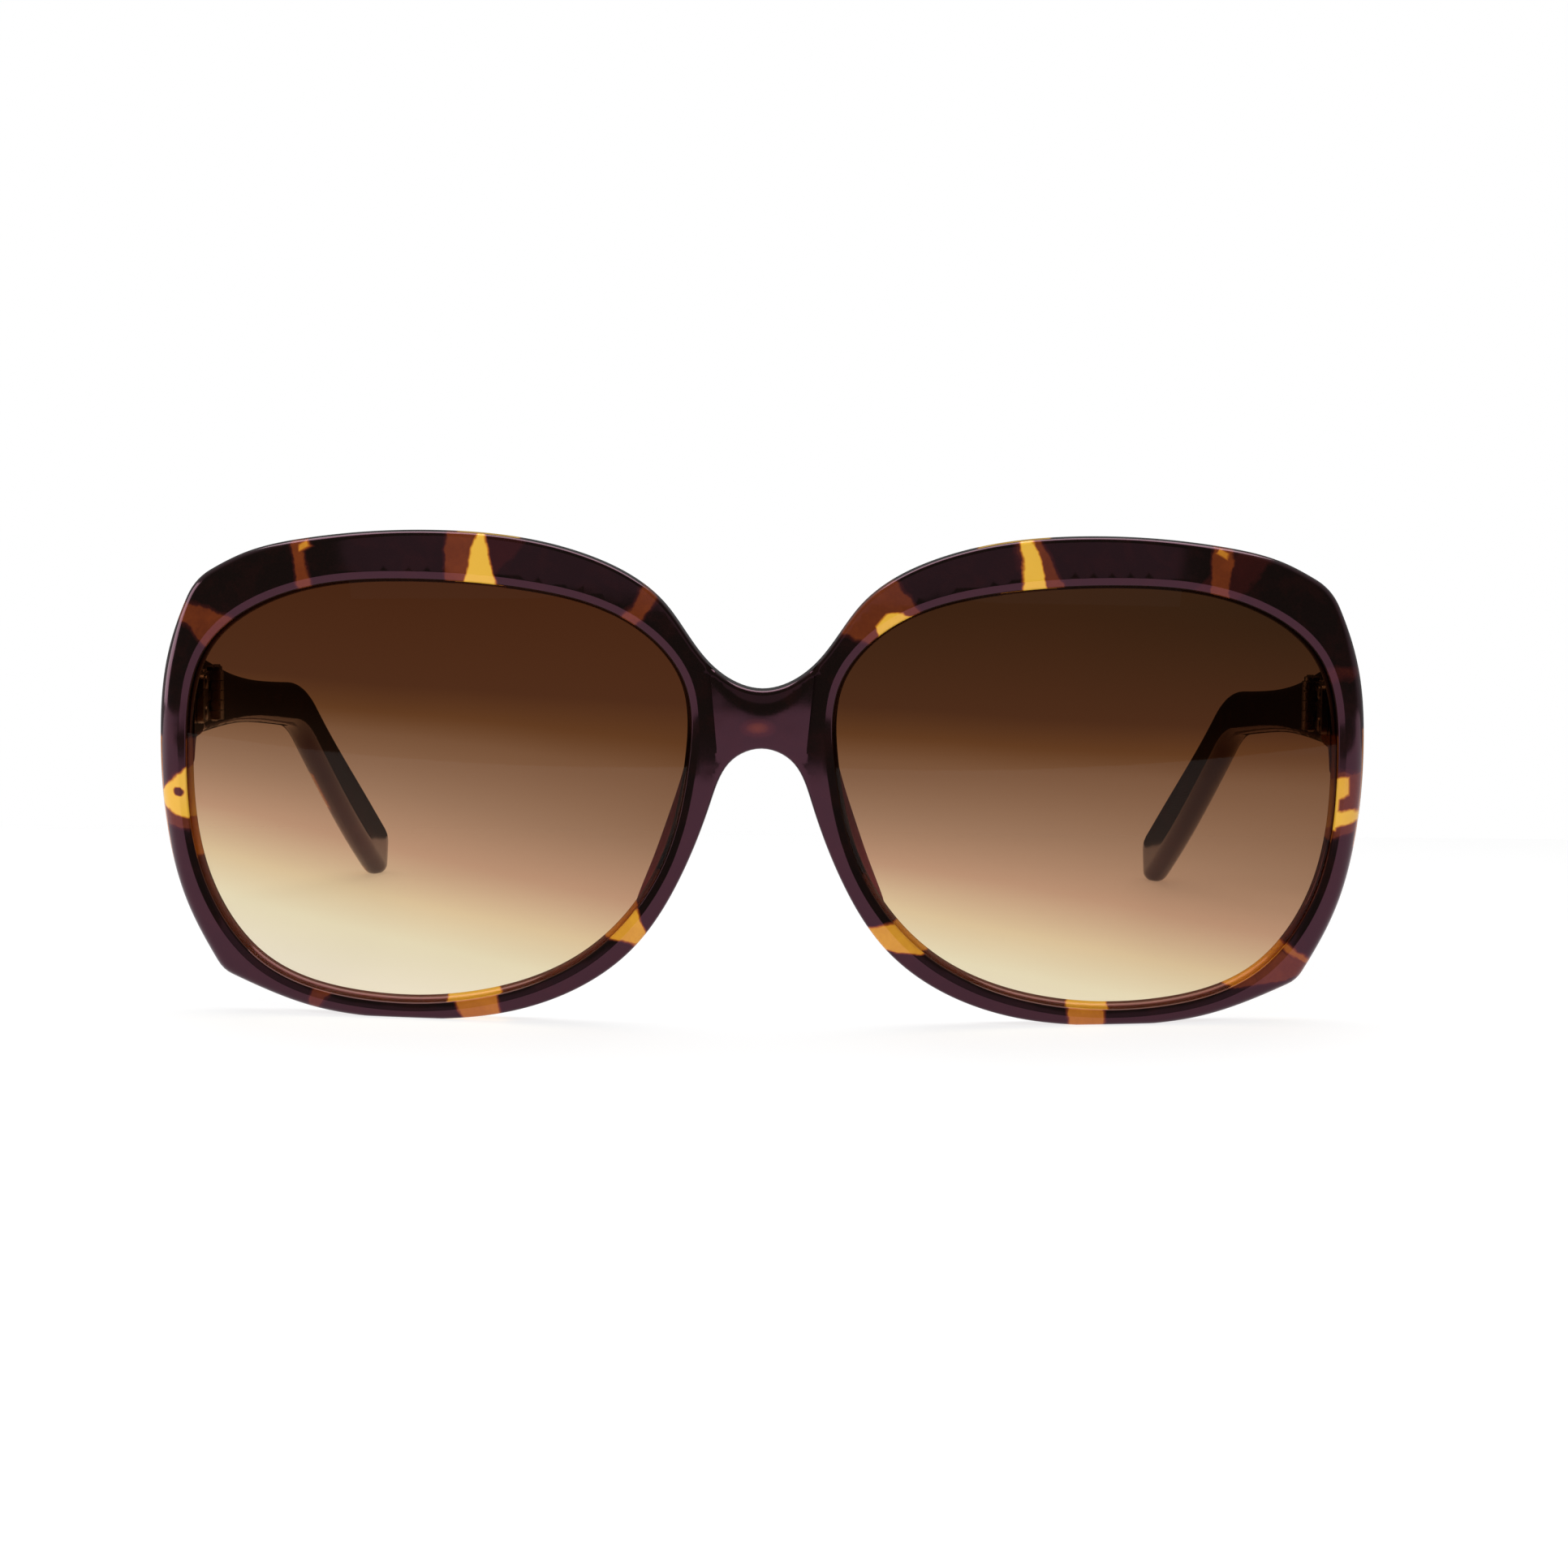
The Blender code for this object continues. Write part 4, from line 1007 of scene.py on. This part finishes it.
# ---- hinge hardware
BARREL_RADIUS, BARREL_COUNT, BARREL_HEIGHT, BARREL_GAP, BARREL_BORE = 1.2, 5, 1.12, 0.1, 0.58
PLATE_THICKNESS, PLATE_GAP, PLATE_CLEAR = 0.8, 0.02, 1.4
FRONT_PLATE_LENGTH, TEMPLE_PLATE_LENGTH = 5.6, 9.0
PLATE_CORNER, HARDWARE_BEVEL = 0.9, 0.07
PIN_RADIUS, PIN_HEAD_RADIUS, PIN_RISE, PIN_DEPTH = 0.5, 0.85, 1.9, 1.7
SCREW_RADIUS, SCREW_HEAD_RADIUS, SCREW_HEAD_HEIGHT = 0.5, 0.95, 0.55
SLOT_SIZE = (0.28, 4, 0.5)


def circle(centre, radius, steps=32):
    angles = [2 * math.pi * i / steps for i in range(steps)]
    return [(centre[0] + radius * math.cos(a), centre[1] + radius * math.sin(a)) for a in angles]


def barrel_bottom(index):
    total = BARREL_COUNT * BARREL_HEIGHT + (BARREL_COUNT - 1) * BARREL_GAP
    return HINGE_Z - total / 2 + index * (BARREL_HEIGHT + BARREL_GAP)


def plate_middle(direction, length):
    return HINGE_Y + direction * (PLATE_CLEAR + length / 2)


def make_leaf(name, side, sign, node, barrels, direction, length, mat):
    """Half a hinge: a round-cornered plate with two round holes, and curled barrels at its end."""
    plate_outer = TEMPLE_INNER_X - PLATE_GAP
    plate_inner = plate_outer - PLATE_THICKNESS
    half_length = length / 2
    half_height = (barrel_bottom(BARREL_COUNT - 1) + BARREL_HEIGHT - barrel_bottom(0)) / 2
    middle_y = plate_middle(direction, length)
    bm = bmesh.new()
    holes = [circle((0, rise), PIN_RADIUS + 0.05, 28) for rise in (PIN_RISE, -PIN_RISE)]
    corners = rounded_rectangle(half_length, half_height, PLATE_CORNER)

    def on_plate(u, v, x):
        return Vector((x, middle_y + u, HINGE_Z + v))

    slab(bm, corners, holes, plate_inner, plate_outer, on_plate)
    curl_inner_x = plate_inner - 0.15
    across = HINGE_X - curl_inner_x
    start_angle = math.atan2(math.sqrt(BARREL_RADIUS**2 - across**2), -across)
    reach = PLATE_CLEAR + 0.5
    curl = [(plate_outer, reach)]
    for angle in np.linspace(0, start_angle - 2 * math.pi, 40):
        curl.append((HINGE_X + BARREL_RADIUS * math.cos(angle), BARREL_RADIUS * math.sin(angle)))
    curl.append((curl_inner_x, reach))
    curl = [(x, HINGE_Y + direction * y) for x, y in curl]
    bore = circle((HINGE_X, HINGE_Y), BARREL_BORE)
    for index in barrels:
        low = barrel_bottom(index)
        slab(bm, curl, [bore], low, low + BARREL_HEIGHT, lambda x, y, z: Vector((x, y, z)))
    leaf = finished(f"{name}_{side}", bm, mat, sign=sign)
    bevelled(leaf, HARDWARE_BEVEL)
    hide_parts(node)
    return leaf


def make_screw(side, sign, mat):
    """The hinge screw, with a domed slotted head over the top barrel."""
    head_low = barrel_bottom(BARREL_COUNT - 1) + BARREL_HEIGHT + 0.05
    shank_low = barrel_bottom(0) - 0.25
    profile = [(0, shank_low), (0.7 * SCREW_RADIUS, shank_low), (SCREW_RADIUS, shank_low + 0.2)]
    turns = np.arange(shank_low + 0.25, head_low - 0.1, 0.12)
    profile += [(SCREW_RADIUS - (0.04 if i % 2 else 0), z) for i, z in enumerate(turns)]
    wide, top = SCREW_HEAD_RADIUS, head_low + SCREW_HEAD_HEIGHT
    profile += [(SCREW_RADIUS, head_low), (wide, head_low), (wide, head_low + 0.3)]
    shoulder = (wide - 0.01, head_low + 0.32), (0.9, head_low + 0.47)
    profile += rounding((wide, head_low + 0.5), *shoulder, 3)[:3]
    profile += [(0.6, head_low + 0.54), (0.3, top), (0, top)]
    middle = Vector((HINGE_X, HINGE_Y, 0))
    screw = finished(f"slotted_screw_{side}", turned(profile, middle, "z", 48), mat, 40, sign)
    slot = bmesh.new()
    bmesh.ops.create_cube(slot, size=1)
    for v in slot.verts:
        v.co = v.co * Vector(SLOT_SIZE) + middle + Vector((0, 0, top))
    boolean(screw, finished("screw_slot", slot, mat, sign=sign), "DIFFERENCE")
    shade(screw.data, 35)
    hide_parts(f"hinge_screw_{side}")
    return screw


def make_pin(name, side, sign, node, rise, middle_y, mat):
    """A blind pin with a low domed head, through the plate into the plastic."""
    head = PLATE_GAP + PLATE_THICKNESS
    place = Vector((TEMPLE_INNER_X, middle_y, HINGE_Z + rise))
    profile = [(0, PIN_DEPTH), (0.7 * PIN_RADIUS, PIN_DEPTH), (PIN_RADIUS, PIN_DEPTH - 0.2)]
    profile += [(PIN_RADIUS, -head), (PIN_HEAD_RADIUS, -head), (PIN_HEAD_RADIUS, -head - 0.06)]
    for turn in np.linspace(0.25, 1, 6):
        angle = turn * math.pi / 2
        profile.append((PIN_HEAD_RADIUS * math.cos(angle) * 0.99, -head - 0.08 - 0.22 * math.sin(angle)))
    profile[-1] = (0, profile[-1][1])
    pin = finished(name, turned(profile, place, "x", 32), mat, 40, sign)
    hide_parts(node)
    return pin


def make_side(side, sign, mats):
    """Everything that there is one of on each side."""
    ride_slot(make_lens(side, sign, mats["lens"]), "front")
    ride_slot(make_nose_pad(side, sign, mats["pad"]), "front")
    ride_slot(make_temple(side, sign, mats["temple"]), f"temple_{side}")
    ride_slot(make_screw(side, sign, mats["turned"]), "front")
    halves = (
        ("front", "front", (0, 2, 4), -1, FRONT_PLATE_LENGTH),
        ("temple", f"temple_{side}", (1, 3), 1, TEMPLE_PLATE_LENGTH),
    )
    for part, body, barrels, direction, length in halves:
        node = f"{part}_hinge_{side}"
        leaf = make_leaf(f"{part}_leaf", side, sign, node, barrels, direction, length, mats["plate"])
        ride_slot(leaf, body)
        for level, rise in (("upper", PIN_RISE), ("lower", -PIN_RISE)):
            name, node = f"{part}_stud_{side}_{level}", f"{part}_hinge_pin_{side}_{level}"
            pin = make_pin(name, side, sign, node, rise, plate_middle(direction, length), mats["turned"])
            ride_slot(pin, body)
    core = frame["nodes"][f"temple_core_{side}"]
    core.data.materials.clear()
    core.data.materials.append(mats["plate"])


def ride_slot(piece, body):
    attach(piece, body)


# ======== stage
FLOOR_FRONT_Y = -330.0  # the pale table ends this far in front of the sunglasses
FLOOR_BACK_Y, FLOOR_HALF_WIDTH = 200.0, 1800.0
FLOOR_GLOW, NEAR_GLOW, SIDE_GLOW = 0.722, 0.07, 0.25  # everywhere, and more in front and far to the sides
SIDE_GLOW_X = (250, 900)
WORLD_STOPS = ((-0.3, 0.03), (0.2, 0.28), (0.75, 0.28), (0.98, 0.09))  # the room, front (-1) to back (1)
LIGHTS = (  # name, place, target, size in metres, power in watts, and whether it shows in reflections
    ("overhead", (0, 250, 700), (0, 60, 0), (0.9, 0.6), 5.6, True),
    ("key", (-150, -700, 620), (0, 0, 25), (0.7, 0.35), 4.6, False),
    ("side", (-800, 120, 205), (-70, 0, 40), (0.42, 0.38), 1.5, True),
    ("fill", (0, -840, 300), (0, 0, 10), (1.15, 0.26), 0.22, True),
)
CAMERA_PLACE = (2.7, -545.63, 87.55)
CAMERA_PITCH, CAMERA_ROLL = -6.105, 0.556  # degrees
CAMERA_LENS = 105.88


def make_floor():
    corners = [(-FLOOR_HALF_WIDTH, FLOOR_FRONT_Y), (FLOOR_HALF_WIDTH, FLOOR_FRONT_Y)]
    corners += [(FLOOR_HALF_WIDTH, FLOOR_BACK_Y), (-FLOOR_HALF_WIDTH, FLOOR_BACK_Y)]
    nodes = Nodes(bpy.data.materials.new("pale_floor"))
    place = nodes.place()
    nodes.set("Base Color", nodes.ramp(nodes.noise(place, 0.02, 3), ((0, (0.19,) * 3), (1, (0.23,) * 3))))
    nodes.set("Roughness", 0.6)
    nodes.set("Emission Color", (1, 1, 1, 1))
    x, y, _ = nodes.split(place)
    near = nodes.between(y, FRONT_Y + FLOOR_BACK_Y, FRONT_Y)
    aside = nodes.between(nodes.math("ABSOLUTE", x), *SIDE_GLOW_X)
    nodes.set("Emission Strength", nodes.line(aside, SIDE_GLOW, nodes.line(near, NEAR_GLOW, FLOOR_GLOW)))
    mesh = bpy.data.meshes.new("floor")
    mesh.from_pydata([placed((x, y, -0.02)) for x, y in corners], [], [(0, 1, 2, 3)])
    mesh.materials.append(nodes.owner)
    linked("floor", mesh)


def make_world():
    """A white room behind and a dim one in front. What the camera sees past the floor is plain white."""
    bpy.context.scene.world = bpy.data.worlds.new("studio")
    nodes = Nodes(bpy.context.scene.world, "Background")
    _, towards_back, _ = nodes.split(nodes.add("ShaderNodeTexCoord").outputs["Generated"])
    stops = [((at + 1) / 2, (strength,) * 3) for at, strength in WORLD_STOPS]
    room = nodes.ramp(nodes.line(towards_back, 0.5, 0.5), stops, "EASE")
    camera_ray = nodes.add("ShaderNodeLightPath").outputs["Is Camera Ray"]
    nodes.set("Strength", nodes.math("MAXIMUM", room, camera_ray))
    nodes.set("Color", (1, 1, 1, 1))


def make_light(name, place, target, size, power, mirrored):
    """A soft box. One that isn't mirrored lights the plastic without showing in its gloss."""
    data = bpy.data.lights.new(name, "AREA")
    configured(data, shape="RECTANGLE", size=size[0], size_y=size[1], energy=power)
    light = configured(linked(name, data), location=placed(place), visible_camera=False)
    light.visible_glossy = mirrored
    light.rotation_euler = (placed(target) - placed(place)).to_track_quat("-Z", "Y").to_euler()


def make_camera():
    data = bpy.data.cameras.new("camera")
    configured(data, lens=CAMERA_LENS, sensor_width=36, clip_start=0.01, clip_end=20)
    camera = linked("camera", data)
    tilt = Matrix.Rotation(math.radians(90 + CAMERA_PITCH), 4, "X")
    roll = Matrix.Rotation(math.radians(CAMERA_ROLL), 4, "Z")
    camera.matrix_world = Matrix.Translation(placed(CAMERA_PLACE)) @ tilt @ roll
    bpy.context.scene.camera = camera


def main():
    mats = {
        "front": tortoise("front_tortoise", front_pattern, 0.06),
        "temple": tortoise("temple_tortoise", temple_pattern, 0.16),
        "pad": pad_plastic(),
        "lens": gradient_lens(),
        "plate": nickel("brushed_nickel", "y"),
        "turned": nickel("turned_nickel", "z"),
    }
    ride_slot(make_front(mats["front"]), "front")
    for side, sign in SIDES:
        make_side(side, sign, mats)
    make_floor()
    make_world()
    for light in LIGHTS:
        make_light(*light)
    make_camera()
    bpy.context.scene.view_settings.view_transform = "Standard"


main()
